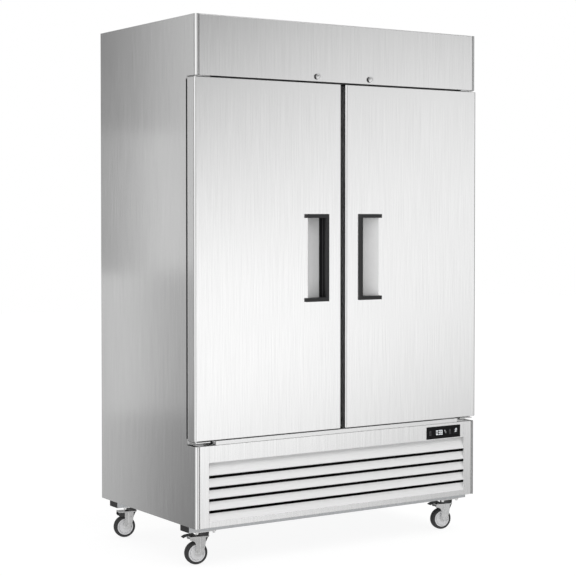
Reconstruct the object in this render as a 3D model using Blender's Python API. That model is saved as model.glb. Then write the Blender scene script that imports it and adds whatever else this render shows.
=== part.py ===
"""Two-door reach-in refrigerator, bottom-mounted machine compartment, on four swivel casters.

Metres, +Z up. The origin is on the floor under the middle of the cabinet, the doors face -Y and +X is the
cabinet's right side as somebody facing the doors sees it.
"""

import bmesh
import bpy
from math import cos, pi, radians, sin
from mathutils import Matrix, Vector

# ---------------------------------------------------------------- driving dimensions

WIDTH = 1.382
DEPTH = 0.800
BODY_BOTTOM = 0.156
BODY_HEIGHT = 1.967
HEADER_HEIGHT = 0.233
LEDGE_HEIGHT = 0.316
DOOR_THICKNESS = 0.056
DOOR_HEIGHT = 1.391
DOOR_SPLIT = 0.020
DOOR_OVERHANG = 0.0045
GASKET_SPACE = 0.0097
WALL = 0.060
SHEET = 0.0012
FIT = 0.0003

SIDE = WIDTH / 2
FRONT = -DEPTH / 2
BACK = DEPTH / 2
BODY_TOP = BODY_BOTTOM + BODY_HEIGHT
HEADER_BOTTOM = BODY_TOP - HEADER_HEIGHT
LEDGE = BODY_BOTTOM + LEDGE_HEIGHT
DOOR_TOP = HEADER_BOTTOM - 0.006
DOOR_BOTTOM = DOOR_TOP - DOOR_HEIGHT
DOOR_BACK = FRONT + DOOR_THICKNESS
DOOR_OUTER = SIDE + DOOR_OVERHANG
DOOR_INNER = DOOR_SPLIT / 2
FRAME_FRONT = DOOR_BACK + GASKET_SPACE
FRAME_DEPTH = 0.012
CORNER = 0.012
FLANGE_END = SIDE - 0.0145

HINGE_X = DOOR_OUTER - 0.018
HINGE_Y = FRONT + 0.022
PIN = 0.006
PIN_FIT = 0.0001

RAIL_HEIGHT = 0.024
RAIL_BOTTOM = BODY_BOTTOM - RAIL_HEIGHT
RAIL_DEPTH = 0.068
RAIL_SHEET = 0.0025
FRONT_RAIL_Y = -0.309
REAR_RAIL_Y = 0.294

CASTER_X = 0.610
CASTER_TURN = radians(-12)
WHEEL_RADIUS = 0.045
WHEEL_WIDTH = 0.032
TRAIL = 0.027

HANDLE_X = 0.076
HANDLE_WIDTH = 0.112
HANDLE_BOTTOM = 1.011
HANDLE_TOP = 1.362
HANDLE_PROUD = 0.010
HANDLE_ARM = 0.0155
GRIP_WIDTH = 0.015
CUP_DEPTH = 0.038
CUP_FLAT = 0.030
CUP_END = 0.100

STILE = 0.059
GRILLE_TOP = 0.406
SLATS = 5
SLAT_PITCH = 0.045
SLAT_RISE = 0.0355
SLAT_DEPTH = 0.036
FIRST_SLAT = 0.3598

BEZEL_X = (0.430, 0.611)
BEZEL_Z = (0.410, 0.4620)
BEZEL_PROUD = 0.0026
BUTTON_X = {"left": 0.447, "right": 0.554}
SWITCH_X = 0.5855

LOCK_X = 0.130
LOCK_Z = HEADER_BOTTOM + 0.020
LOCK_RADIUS = 0.0095
CAM_Y = FRONT + 0.023
CAM_REACH = 0.0335
CAM_HALF = 0.004

POST = 0.080
OPENING_SIDE = 0.640
OPENING_BOTTOM = DOOR_BOTTOM + 0.035
OPENING_TOP = DOOR_TOP - 0.035
PLUG_DEPTH = 0.004
PLUG_INSET = 0.018

ROOM_SIDE = SIDE - WALL
ROOM_BACK = BACK - WALL
ROOM_BOTTOM = LEDGE + 0.058
ROOM_TOP = BODY_TOP - WALL - 0.002

SHELF_LEVELS = {"low": 0.840, "mid": 1.175, "high": 1.510}
SHELF_NEAR = 0.022
SHELF_FAR = ROOM_SIDE - 0.018
SHELF_SHEET = 0.006
PILASTER_Y = (-0.240, 0.250)

COOLER_SIDE = 0.585
COOLER_FRONT = -0.020
COOLER_BOTTOM = ROOM_TOP - 0.185
FAN_X = 0.300
FAN_Z = COOLER_BOTTOM + 0.092


# ---------------------------------------------------------------- scene and materials

def clear_scene():
    for thing in list(bpy.data.objects):
        bpy.data.objects.remove(thing, do_unlink=True)


def material(name, colour, roughness, metallic=0.0):
    made = bpy.data.materials.new(name)
    made.use_nodes = True
    shader = made.node_tree.nodes["Principled BSDF"]
    shader.inputs["Base Color"].default_value = (*colour, 1.0)
    shader.inputs["Roughness"].default_value = roughness
    shader.inputs["Metallic"].default_value = metallic
    return made


# ---------------------------------------------------------------- shapes

def block(bm, low, high):
    """A box between two corners."""
    low, high = Vector(low), Vector(high)
    size = high - low
    place = Matrix.Translation((low + high) / 2) @ Matrix.Diagonal((*size, 1))
    bmesh.ops.create_cube(bm, size=1, matrix=place)


def prism(bm, outline, axis, low, high):
    """An outline pushed along an axis: (y, z) along X, (x, z) along Y or (x, y) along Z."""
    order = {"X": (2, 0, 1), "Y": (0, 2, 1), "Z": (0, 1, 2)}[axis]
    corners = []
    for first, second in outline:
        values = (first, second, low)
        corners.append(bm.verts.new([values[i] for i in order]))
    face = bm.faces.new(corners)
    grown = bmesh.ops.extrude_face_region(bm, geom=[face])["geom"]
    push = Vector([(0, 0, high - low)[i] for i in order])
    bmesh.ops.translate(bm, vec=push, verts=[v for v in grown if isinstance(v, bmesh.types.BMVert)])


def rod(bm, centre, axis, radius, length, sides=16):
    """A round bar centred on a point, along X, Y or Z."""
    turn = {"X": Matrix.Rotation(pi / 2, 4, "Y"), "Y": Matrix.Rotation(pi / 2, 4, "X"), "Z": Matrix()}[axis]
    place = Matrix.Translation(centre) @ turn
    bmesh.ops.create_cone(bm, cap_ends=True, segments=sides, radius1=radius, radius2=radius,
                          depth=length, matrix=place)


def turned(bm, profile, steps, closed, axis="Z", centre=(0, 0, 0)):
    """A profile of (radius, height) points spun round an axis; a closed one leaves a bore."""
    points = [bm.verts.new((radius, 0, height)) for radius, height in profile]
    edges = [bm.edges.new(pair) for pair in zip(points, points[1:])]
    if closed:
        edges.append(bm.edges.new((points[-1], points[0])))
    bmesh.ops.spin(bm, geom=points + edges, axis=(0, 0, 1), cent=(0, 0, 0), dvec=(0, 0, 0),
                   angle=2 * pi, steps=steps, use_merge=True)
    bmesh.ops.remove_doubles(bm, verts=list(bm.verts), dist=1e-6)
    turn = {"X": Matrix.Rotation(pi / 2, 4, "Y"), "Y": Matrix.Rotation(pi / 2, 4, "X"), "Z": Matrix()}[axis]
    bmesh.ops.transform(bm, matrix=Matrix.Translation(centre) @ turn, verts=list(bm.verts))


def arc(centre, radius, start, end, steps):
    """Points of an arc, ends included, angles in degrees."""
    turns = [radians(start + (end - start) * i / steps) for i in range(steps + 1)]
    return [(centre[0] + radius * cos(t), centre[1] + radius * sin(t)) for t in turns]


# ---------------------------------------------------------------- objects

def solid(name, bm, finish, pivot=(0, 0, 0), parent=None, smooth=False):
    """Closes a bmesh into an object whose origin is the pivot, given in the parent's space."""
    bmesh.ops.translate(bm, vec=-Vector(pivot), verts=list(bm.verts))
    bmesh.ops.recalc_face_normals(bm, faces=list(bm.faces))
    mesh = bpy.data.meshes.new(name)
    bm.to_mesh(mesh)
    bm.free()
    if smooth:
        mesh.shade_smooth()
        mesh.set_sharp_from_angle(angle=radians(35))
    if finish:
        mesh.materials.append(finish)
    thing = bpy.data.objects.new(name, mesh)
    bpy.context.scene.collection.objects.link(thing)
    thing.location = pivot
    thing.parent = parent
    return thing


def helper(name, bm, parent=None):
    """A cutter or a joined shape, left out of the model itself."""
    thing = solid(name, bm, None, parent=parent)
    thing.hide_render = True
    thing.display_type = "WIRE"
    return thing


def boolean(thing, other, operation):
    step = thing.modifiers.new(operation.title(), "BOOLEAN")
    step.operation = operation
    step.solver = "EXACT"
    step.object = other


def cut(thing, bm, parent=None):
    boolean(thing, helper(thing.name + "_cut", bm, parent), "DIFFERENCE")


def join(thing, bm, parent=None):
    boolean(thing, helper(thing.name + "_join", bm, parent), "UNION")


def empty(name, location, turn=0.0, parent=None):
    made = bpy.data.objects.new(name, None)
    bpy.context.scene.collection.objects.link(made)
    made.location = location
    made.rotation_euler = (0, 0, turn)
    made.parent = parent
    return made


def sheet(name, path, levels, axis, keep, finish):
    """A folded sheet: a path crossed with levels along an axis, thickened inwards."""
    order = {"Z": (0, 1, 2), "X": (2, 0, 1)}[axis]
    bm = bmesh.new()
    grid = []
    for first, second in path:
        row = [bm.verts.new([(first, second, level)[i] for i in order]) for level in levels]
        grid.append(row)
    for i in range(len(path) - 1):
        for j in range(len(levels) - 1):
            if keep(i, j):
                bm.faces.new((grid[i][j], grid[i + 1][j], grid[i + 1][j + 1], grid[i][j + 1]))
    loose = [v for v in bm.verts if not v.link_faces]
    bmesh.ops.delete(bm, geom=loose, context="VERTS")
    mesh = bpy.data.meshes.new(name)
    bm.to_mesh(mesh)
    bm.free()
    mesh.materials.append(finish)
    thing = bpy.data.objects.new(name, mesh)
    bpy.context.scene.collection.objects.link(thing)
    skin = thing.modifiers.new("Sheet", "SOLIDIFY")
    skin.thickness = SHEET
    skin.offset = -1
    skin.use_even_offset = True
    return thing


# ---------------------------------------------------------------- cabinet

def side_panels():
    """Outer sides: flat at the doors, folded round the front corner at the header and the lower panel."""
    levels = [BODY_BOTTOM, LEDGE, HEADER_BOTTOM, BODY_TOP]
    for name, hand in (("left", -1), ("right", 1)):
        bend = arc((SIDE - CORNER, FRONT + CORNER), CORNER, 0, -90, 4)
        path = [(SIDE, BACK), (SIDE, FRAME_FRONT - 0.0015), *bend, (FLANGE_END, FRONT)]
        path = [(hand * x, y) for x, y in path]
        if hand > 0:
            path.reverse()
        flat = 0 if hand < 0 else len(path) - 2
        sheet("side_panel_" + name, path, levels, "Z", lambda i, j, flat=flat: j != 1 or i == flat, STEEL)


def top_and_rear():
    inner = SIDE - SHEET - FIT
    bend = arc((SIDE - CORNER, FRONT + CORNER), CORNER - SHEET - FIT, 0, -90, 4)
    outline = [(inner, BACK), *bend, *[(-x, y) for x, y in reversed(bend)], (-inner, BACK)]
    bm = bmesh.new()
    prism(bm, outline, "Z", BODY_TOP - SHEET, BODY_TOP)
    solid("top_panel", bm, STEEL)
    bm = bmesh.new()
    block(bm, (-inner, BACK - SHEET, LEDGE), (inner, BACK, BODY_TOP - SHEET - FIT))
    solid("rear_panel", bm, GALVANISED)


def rear_cover():
    """Louvred cover of the machine compartment."""
    bm = bmesh.new()
    inner = SIDE - SHEET - FIT
    bottom, top = BODY_BOTTOM + 0.004, LEDGE - 0.001
    block(bm, (-inner, BACK - 0.002, bottom), (inner, BACK, top))
    cover = solid("rear_cover", bm, GALVANISED)
    bm = bmesh.new()
    for column in (-0.45, -0.15, 0.15):
        for row in range(4):
            low = bottom + 0.06 + 0.05 * row
            block(bm, (column, BACK - 0.01, low), (column + 0.24, BACK + 0.01, low + 0.012))
    rod(bm, (0.55, BACK, bottom + 0.09), "Y", 0.0125, 0.03, 16)
    cut(cover, bm)


def header_panel():
    """Front header: a folded box with holes for the locks and slots for their cams."""
    top = BODY_TOP - SHEET - FIT
    path = [(FRONT + 0.020, top), (FRONT, top), (FRONT, HEADER_BOTTOM), (FRAME_FRONT - 0.0015, HEADER_BOTTOM)]
    levels = [-(FLANGE_END - 0.0015), FLANGE_END - 0.0015]
    panel = sheet("header_panel", path, levels, "X", lambda i, j: True, STEEL)
    bm = bmesh.new()
    for hand in (-1, 1):
        centre = hand * LOCK_X
        rod(bm, (centre, FRONT, LOCK_Z), "Y", LOCK_RADIUS + 0.0003, 0.02, 24)
        block(bm, (centre - 0.0295, CAM_Y - 0.003, HEADER_BOTTOM - 0.01),
              (centre + 0.006, CAM_Y + 0.003, HEADER_BOTTOM + 0.005))
    cut(panel, bm)


def insulated_body():
    """Foamed walls with their liner, open towards the doors."""
    outer = SIDE - SHEET - FIT
    front = FRAME_FRONT + FRAME_DEPTH + FIT
    bm = bmesh.new()
    block(bm, (-outer, front, LEDGE + 0.0015), (outer, BACK - SHEET - FIT, BODY_TOP - SHEET - FIT))
    body = solid("insulated_body", bm, LINER)
    bm = bmesh.new()
    block(bm, (-ROOM_SIDE, front - 0.01, ROOM_BOTTOM), (ROOM_SIDE, ROOM_BACK, ROOM_TOP))
    cut(body, bm)
    for y in PILASTER_Y:
        pilasters(body, y)


def pilasters(body, y):
    """Upright strips on the side walls and a free post in the middle, with a clip under each shelf corner."""
    half = 0.008
    post_top = ROOM_TOP + 0.001 if y < COOLER_FRONT else COOLER_BOTTOM - 0.004
    bm = bmesh.new()
    block(bm, (-0.0075, y - half, ROOM_BOTTOM - 0.001), (0.0075, y + half, post_top))
    join(body, bm)
    for hand in (-1, 1):
        bm = bmesh.new()
        wall = sorted((hand * (ROOM_SIDE - 0.008), hand * (ROOM_SIDE + 0.001)))
        block(bm, (wall[0], y - half, ROOM_BOTTOM + 0.070), (wall[1], y + half, COOLER_BOTTOM - 0.030))
        join(body, bm)
    bm = bmesh.new()
    for level in SHELF_LEVELS.values():
        top = level - SHELF_SHEET / 2 - FIT
        block(bm, (-SHELF_NEAR - 0.010, y - 0.006, top - 0.006), (SHELF_NEAR + 0.010, y + 0.006, top))
    join(body, bm)
    for hand in (-1, 1):
        bm = bmesh.new()
        wall = sorted((hand * (SHELF_FAR - 0.010), hand * (ROOM_SIDE + 0.0005)))
        for level in SHELF_LEVELS.values():
            top = level - SHELF_SHEET / 2 - FIT
            block(bm, (wall[0], y - 0.006, top - 0.006), (wall[1], y + 0.006, top))
        join(body, bm)


def door_frame():
    """Face of the cabinet that the gaskets close on, with the post between the two openings."""
    outer = SIDE - SHEET - FIT
    bm = bmesh.new()
    block(bm, (-outer, FRAME_FRONT, LEDGE + 0.0015), (outer, FRAME_FRONT + FRAME_DEPTH, HEADER_BOTTOM + 0.06))
    frame = solid("door_frame", bm, STEEL)
    bm = bmesh.new()
    for hand in (-1, 1):
        near, far = sorted((hand * POST / 2, hand * OPENING_SIDE))
        block(bm, (near, FRAME_FRONT - 0.01, OPENING_BOTTOM), (far, FRAME_FRONT + 0.03, OPENING_TOP))
    cut(frame, bm)


def front_grille():
    """Lower front panel: a face with a slatted air intake and the ledge under the doors."""
    edge = FLANGE_END - 0.0015
    hole = SIDE - STILE
    rear = FRONT + 0.040
    grille_bottom = FIRST_SLAT - (SLATS - 1) * SLAT_PITCH
    bm = bmesh.new()
    block(bm, (-edge, FRONT, BODY_BOTTOM + 0.0005), (edge, rear, LEDGE))
    panel = solid("front_grille", bm, STEEL)
    bm = bmesh.new()
    block(bm, (-hole, FRONT - 0.01, grille_bottom - 0.001), (hole, rear + 0.01, GRILLE_TOP))
    cut(panel, bm)
    bm = bmesh.new()
    inner = edge - 0.0016
    block(bm, (-inner, FRONT + 0.0016, BODY_BOTTOM - 0.01), (-hole - 0.0016, rear + 0.01, LEDGE - 0.0016))
    block(bm, (hole + 0.0016, FRONT + 0.0016, BODY_BOTTOM - 0.01), (inner, rear + 0.01, LEDGE - 0.0016))
    cut(panel, bm)
    bm = bmesh.new()
    past = hole + 0.003
    block(bm, (-past, FRONT + 0.0016, GRILLE_TOP + 0.0016), (past, rear + 0.01, LEDGE - 0.0016))
    block(bm, (-past, FRONT + 0.0016, BODY_BOTTOM - 0.01), (past, rear + 0.01, grille_bottom - 0.0026))
    cut(panel, bm)
    bm = bmesh.new()
    block(bm, (BEZEL_X[0] + 0.004, FRONT - 0.01, BEZEL_Z[0] + 0.004),
          (BEZEL_X[1] - 0.004, FRONT + 0.01, BEZEL_Z[1] - 0.004))
    cut(panel, bm)
    bm = bmesh.new()
    for i in range(SLATS):
        low = FIRST_SLAT - i * SLAT_PITCH
        outline = [(FRONT, low), (FRONT + SLAT_DEPTH, low + SLAT_RISE),
                   (FRONT + SLAT_DEPTH, low + SLAT_RISE - 0.002), (FRONT + 0.001, low - 0.0015)]
        prism(bm, outline, "X", -hole - 0.0008, hole + 0.0008)
    join(panel, bm)
    bm = bmesh.new()
    block(bm, (-edge, rear - 0.002, LEDGE - SHEET), (edge, FRAME_FRONT - 0.0015, LEDGE))
    join(panel, bm)
    bm = bmesh.new()
    block(bm, (-hole - 0.0008, FRONT + SLAT_DEPTH, FIRST_SLAT + SLAT_RISE - 0.003),
          (hole + 0.0008, FRONT + SLAT_DEPTH + 0.0015, GRILLE_TOP + 0.0008))
    join(panel, bm)


def base():
    """Floor of the machine compartment and the two folded pan rails that carry the casters."""
    outer = SIDE - SHEET - FIT
    bm = bmesh.new()
    block(bm, (-outer, FRONT + 0.041, BODY_BOTTOM), (outer, BACK - 0.003, BODY_BOTTOM + 0.003))
    solid("base_deck", bm, GALVANISED)
    for name, y in (("base_rail_front", FRONT_RAIL_Y), ("base_rail_rear", REAR_RAIL_Y)):
        low, high = y - RAIL_DEPTH / 2, y + RAIL_DEPTH / 2
        end = SIDE - 0.002
        bm = bmesh.new()
        block(bm, (-end, low, RAIL_BOTTOM), (end, high, BODY_BOTTOM - FIT))
        rail = solid(name, bm, GALVANISED)
        bm = bmesh.new()
        block(bm, (RAIL_SHEET - end, low + RAIL_SHEET, RAIL_BOTTOM + RAIL_SHEET),
              (end - RAIL_SHEET, high - RAIL_SHEET, BODY_BOTTOM + 0.01))
        cut(rail, bm)


def cord_inlet():
    """Round strain-relief gland in the rear cover; the cord itself is left out."""
    profile = [(0.0060, -0.012), (0.0120, -0.012), (0.0120, 0.0003), (0.0165, 0.0003), (0.0165, 0.004),
               (0.0110, 0.010), (0.0060, 0.010)]
    bm = bmesh.new()
    turned(bm, [(r, -h) for r, h in profile], 16, True, "Y", (0.55, BACK, BODY_BOTTOM + 0.094))
    solid("cord_inlet", bm, BLACK, smooth=True)


# ---------------------------------------------------------------- doors

def door_outline(hand, inset, back):
    """Plan of a door with rounded front edges."""
    radius = 0.008 - inset
    low, high = DOOR_INNER + inset, DOOR_OUTER - inset
    front = FRONT + inset
    points = [(high, back)]
    points += arc((high - radius, front + radius), radius, 0, -90, 4)
    points += arc((low + radius, front + radius), radius, -90, -180, 4)
    points.append((low, back))
    return [(hand * x, y) for x, y in points]


def cup_outline(hand, grow, proud):
    """Plan of the finger recess: a deep floor beside the grip that curves up to the door's face."""
    points = [(-grow, -proud), (-grow, CUP_DEPTH + grow), (CUP_FLAT, CUP_DEPTH + grow)]
    run = CUP_END - CUP_FLAT
    steps = 8
    for i in range(1, steps + 1):
        share = i / steps
        points.append((CUP_FLAT + run * share + 0.7 * grow * share,
                       CUP_DEPTH * cos(pi / 2 * share) + grow * (1 - 0.3 * share)))
    slope = (points[-1][0] - points[-2][0]) / (points[-2][1] - points[-1][1])
    last = points[-1]
    points.append((last[0] + slope * (last[1] + proud), -proud))
    return [(hand * (HANDLE_X + u), FRONT + v) for u, v in points]


def door_block(bm, hand, inset, back):
    prism(bm, door_outline(hand, inset, back), "Z", DOOR_BOTTOM + inset, DOOR_TOP - inset)


def cup_block(bm, hand, grow):
    prism(bm, cup_outline(hand, grow, 0.02), "Z", HANDLE_BOTTOM - grow, HANDLE_TOP + grow)


def pin_holes(bm, hand):
    x = hand * HINGE_X
    radius = (PIN + PIN_FIT) / cos(pi / 24)
    rod(bm, (x, HINGE_Y, DOOR_BOTTOM + 0.010), "Z", radius, 0.036, 24)
    rod(bm, (x, HINGE_Y, DOOR_TOP - 0.010), "Z", radius, 0.036, 24)


def cam_notch(bm, hand):
    centre = hand * LOCK_X
    block(bm, (centre - 0.024, CAM_Y - 0.004, DOOR_TOP - 0.012),
          (centre + 0.007, CAM_Y + 0.004, DOOR_TOP + 0.01))


def door(name, hand):
    pivot = empty("hinge_axis_" + name, (hand * HINGE_X, HINGE_Y, 0))
    shift = Vector((-hand * HINGE_X, -HINGE_Y, 0))

    def own(bm):
        bmesh.ops.translate(bm, vec=shift, verts=list(bm.verts))
        return bm

    bm = bmesh.new()
    door_block(bm, hand, 0, DOOR_BACK - 0.004)
    skin = solid("door_%s_skin" % name, own(bm), STEEL, parent=pivot)
    bm = bmesh.new()
    cup_block(bm, hand, 0)
    cut(skin, own(bm), pivot)
    bm = bmesh.new()
    door_block(bm, hand, 0.001, DOOR_BACK + 0.02)
    inside = helper(skin.name + "_inside", own(bm), pivot)
    bm = bmesh.new()
    cup_block(bm, hand, 0.001)
    boolean(inside, helper(skin.name + "_cup", own(bm), pivot), "DIFFERENCE")
    boolean(skin, inside, "DIFFERENCE")
    bm = bmesh.new()
    pin_holes(bm, hand)
    cam_notch(bm, hand)
    cut(skin, own(bm), pivot)

    bm = bmesh.new()
    door_block(bm, hand, 0.001 + FIT, DOOR_BACK)
    core = solid("door_%s_core" % name, own(bm), LINER, parent=pivot)
    bm = bmesh.new()
    cup_block(bm, hand, 0.001 + FIT)
    cut(core, own(bm), pivot)
    bm = bmesh.new()
    pin_holes(bm, hand)
    cam_notch(bm, hand)
    cut(core, own(bm), pivot)
    bm = bmesh.new()
    plug = sorted((hand * (POST / 2 + PLUG_INSET), hand * (OPENING_SIDE - PLUG_INSET)))
    block(bm, (plug[0], DOOR_BACK - 0.01, OPENING_BOTTOM + PLUG_INSET),
          (plug[1], DOOR_BACK + PLUG_DEPTH, OPENING_TOP - PLUG_INSET))
    join(core, own(bm), pivot)

    gasket_ring(name, hand, own, pivot)
    grip(name, hand, own, pivot)


def gasket_ring(name, hand, own, pivot):
    """Magnetic gasket pressed into the back of a door."""
    outset, width = 0.015, 0.014
    low, high = DOOR_INNER + outset, DOOR_OUTER - outset
    bottom, top = DOOR_BOTTOM + outset, DOOR_TOP - outset
    back = DOOR_BACK + FIT
    bm = bmesh.new()
    ends = sorted((hand * low, hand * high))
    block(bm, (ends[0], back, bottom), (ends[1], FRAME_FRONT - FIT, top))
    gasket = solid("door_%s_gasket" % name, own(bm), RUBBER, parent=pivot)
    bm = bmesh.new()
    ends = sorted((hand * (low + width), hand * (high - width)))
    block(bm, (ends[0], back - 0.01, bottom + width), (ends[1], FRAME_FRONT + 0.01, top - width))
    cut(gasket, own(bm), pivot)


def grip(name, hand, own, pivot):
    """Black C-shaped grip: a hooked bar on the opening side and an arm at each end of the recess."""
    wall, lip = 0.004, 0.004
    gap = FIT + 0.0002
    floor = CUP_DEPTH - gap
    hook = [(gap, -HANDLE_PROUD + 0.002), (0.002, -HANDLE_PROUD), (GRIP_WIDTH - 0.002, -HANDLE_PROUD),
            (GRIP_WIDTH, -HANDLE_PROUD + 0.002), (GRIP_WIDTH, lip), (wall + 0.003, lip + 0.003),
            (wall, lip + 0.008), (wall, floor - 0.002), (0.020, floor - 0.002), (0.020, floor), (gap, floor)]
    hook = [(hand * (HANDLE_X + u), FRONT + v) for u, v in hook]
    bm = bmesh.new()
    prism(bm, hook, "Z", HANDLE_BOTTOM + 0.001, HANDLE_TOP - 0.001)
    bar = solid("door_%s_grip" % name, own(bm), BLACK, parent=pivot)
    run = CUP_END - CUP_FLAT
    arm = [(gap, -HANDLE_PROUD), (HANDLE_WIDTH, -HANDLE_PROUD), (HANDLE_WIDTH, -gap), (CUP_END - 0.001, -gap)]
    for i in range(5, -1, -1):
        share = i / 6
        arm.append((CUP_FLAT + run * share - gap * 2 * share, CUP_DEPTH * cos(pi / 2 * share) - gap * 1.6))
    arm.append((gap, CUP_DEPTH - gap * 1.6))
    arm = [(hand * (HANDLE_X + u), FRONT + v) for u, v in arm]
    for low in (HANDLE_BOTTOM + FIT, HANDLE_TOP - FIT - HANDLE_ARM):
        bm = bmesh.new()
        prism(bm, arm, "Z", low, low + HANDLE_ARM)
        join(bar, own(bm), pivot)


def hinges(name, hand):
    """Bottom bracket with its upward pin and top plate with its downward pin."""
    inner, outer = sorted((hand * (HINGE_X - 0.058), hand * (HINGE_X + 0.008)))
    rear = FRAME_FRONT - FIT
    front = HINGE_Y - 0.012
    plate = DOOR_BOTTOM - 0.0100
    bm = bmesh.new()
    block(bm, (inner, front, plate), (outer, rear, plate + 0.004))
    bracket = solid("hinge_bottom_" + name, bm, STEEL)
    bm = bmesh.new()
    block(bm, (inner, rear - 0.003, LEDGE + FIT), (outer, rear, plate + 0.002))
    join(bracket, bm)
    bm = bmesh.new()
    rod(bm, (hand * HINGE_X, HINGE_Y, plate + 0.0145), "Z", PIN, 0.025, 24)
    join(bracket, bm)
    bm = bmesh.new()
    under = HEADER_BOTTOM - FIT
    block(bm, (inner, front, under - 0.0025), (outer, rear, under))
    bracket = solid("hinge_top_" + name, bm, STEEL)
    bm = bmesh.new()
    rod(bm, (hand * HINGE_X, HINGE_Y, under - 0.0125), "Z", PIN, 0.023, 24)
    join(bracket, bm)


# ---------------------------------------------------------------- locks and controls

def lock(name, hand):
    """Key cylinder with the cam that drops behind the door's top edge."""
    centre = (hand * LOCK_X, FRONT, LOCK_Z)
    bm = bmesh.new()
    rod(bm, (centre[0], FRONT + 0.0115, LOCK_Z), "Y", LOCK_RADIUS, 0.026, 24)
    barrel = solid("lock_" + name, bm, CHROME, pivot=centre)
    bm = bmesh.new()
    block(bm, (centre[0] - CAM_REACH, CAM_Y - 0.00125, LOCK_Z - CAM_HALF),
          (centre[0] + 0.006, CAM_Y + 0.00125, LOCK_Z + CAM_HALF))
    join(barrel, bm)
    bm = bmesh.new()
    block(bm, (centre[0] - 0.0007, FRONT - 0.01, LOCK_Z - 0.004),
          (centre[0] + 0.0007, FRONT + 0.004, LOCK_Z + 0.004))
    cut(barrel, bm)


def controls():
    """Control bezel with two push buttons and a rocker switch, each in its own well."""
    middle = (BEZEL_Z[0] + BEZEL_Z[1]) / 2
    face = FRONT - BEZEL_PROUD
    bm = bmesh.new()
    block(bm, (BEZEL_X[0], face, BEZEL_Z[0]), (BEZEL_X[1], FRONT - FIT, BEZEL_Z[1]))
    bezel = solid("control_bezel", bm, BLACK)
    bm = bmesh.new()
    block(bm, (BEZEL_X[0] + 0.0045, FRONT - 0.001, BEZEL_Z[0] + 0.0045),
          (BEZEL_X[1] - 0.0045, FRONT + 0.016, BEZEL_Z[1] - 0.0045))
    join(bezel, bm)
    for name, x in BUTTON_X.items():
        bm = bmesh.new()
        block(bm, (x - 0.0068, face - 0.01, middle - 0.0118), (x + 0.0068, FRONT + 0.004, middle + 0.0118))
        cut(bezel, bm)
        bm = bmesh.new()
        block(bm, (x - 0.0065, face - 0.0008, middle - 0.0115), (x + 0.0065, FRONT + 0.0015, middle + 0.0115))
        solid("control_button_" + name, bm, DARK_GREY, pivot=(x, FRONT, middle))
    bm = bmesh.new()
    block(bm, (SWITCH_X - 0.0148, face - 0.01, middle - 0.0158),
          (SWITCH_X + 0.0148, FRONT + 0.0100, middle + 0.0158))
    cut(bezel, bm)
    bm = bmesh.new()
    wedge = [(face - 0.0030, middle + 0.0145), (face + 0.0006, middle), (face - 0.0004, middle - 0.0145),
             (FRONT + 0.003, middle - 0.0130), (FRONT + 0.003, middle + 0.0130)]
    prism(bm, wedge, "X", SWITCH_X - 0.0142, SWITCH_X + 0.0142)
    solid("power_switch", bm, DARK_GREY, pivot=(SWITCH_X, FRONT + 0.001, middle))


# ---------------------------------------------------------------- inside the cabinet

def shelf(name, hand, level):
    """Slotted wire shelf for one side of the cabinet."""
    slots = 8
    border, bar = 0.012, 0.008
    pitch = (SHELF_FAR - SHELF_NEAR - 2 * border + bar) / slots
    xs = [SHELF_NEAR]
    for i in range(slots):
        xs += [SHELF_NEAR + border + i * pitch, SHELF_NEAR + border + (i + 1) * pitch - bar]
    xs.append(SHELF_FAR)
    ys = [-0.285, -0.273, 0.288, 0.300]
    bm = bmesh.new()
    grid = [[bm.verts.new((hand * x, y, level)) for y in ys] for x in xs]
    for i in range(len(xs) - 1):
        for j in range(len(ys) - 1):
            if i % 2 == 1 and j == 1:
                continue
            bm.faces.new((grid[i][j], grid[i + 1][j], grid[i + 1][j + 1], grid[i][j + 1]))
    thing = solid("shelf_" + name, bm, WIRE)
    skin = thing.modifiers.new("Thickness", "SOLIDIFY")
    skin.thickness = SHELF_SHEET
    skin.offset = 0


def fan(name, centre, radius, hub, depth, blades):
    """Axial fan on an axis along Y: a hub with pitched blades."""
    bm = bmesh.new()
    rod(bm, centre, "Y", hub, depth, 16)
    wheel = solid(name, bm, DARK_GREY, pivot=centre)
    bm = bmesh.new()
    for i in range(blades):
        turn = Matrix.Rotation(2 * pi * i / blades, 4, "Y")
        first = len(bm.verts)
        block(bm, (hub * 0.8, -0.001, -0.30 * radius), (radius, 0.001, 0.30 * radius))
        bm.verts.ensure_lookup_table()
        added = bm.verts[first:]
        lean = Matrix.Rotation(radians(28), 4, "X")
        bmesh.ops.transform(bm, matrix=Matrix.Translation(centre) @ turn @ lean, verts=added)
    join(wheel, bm)


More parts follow.
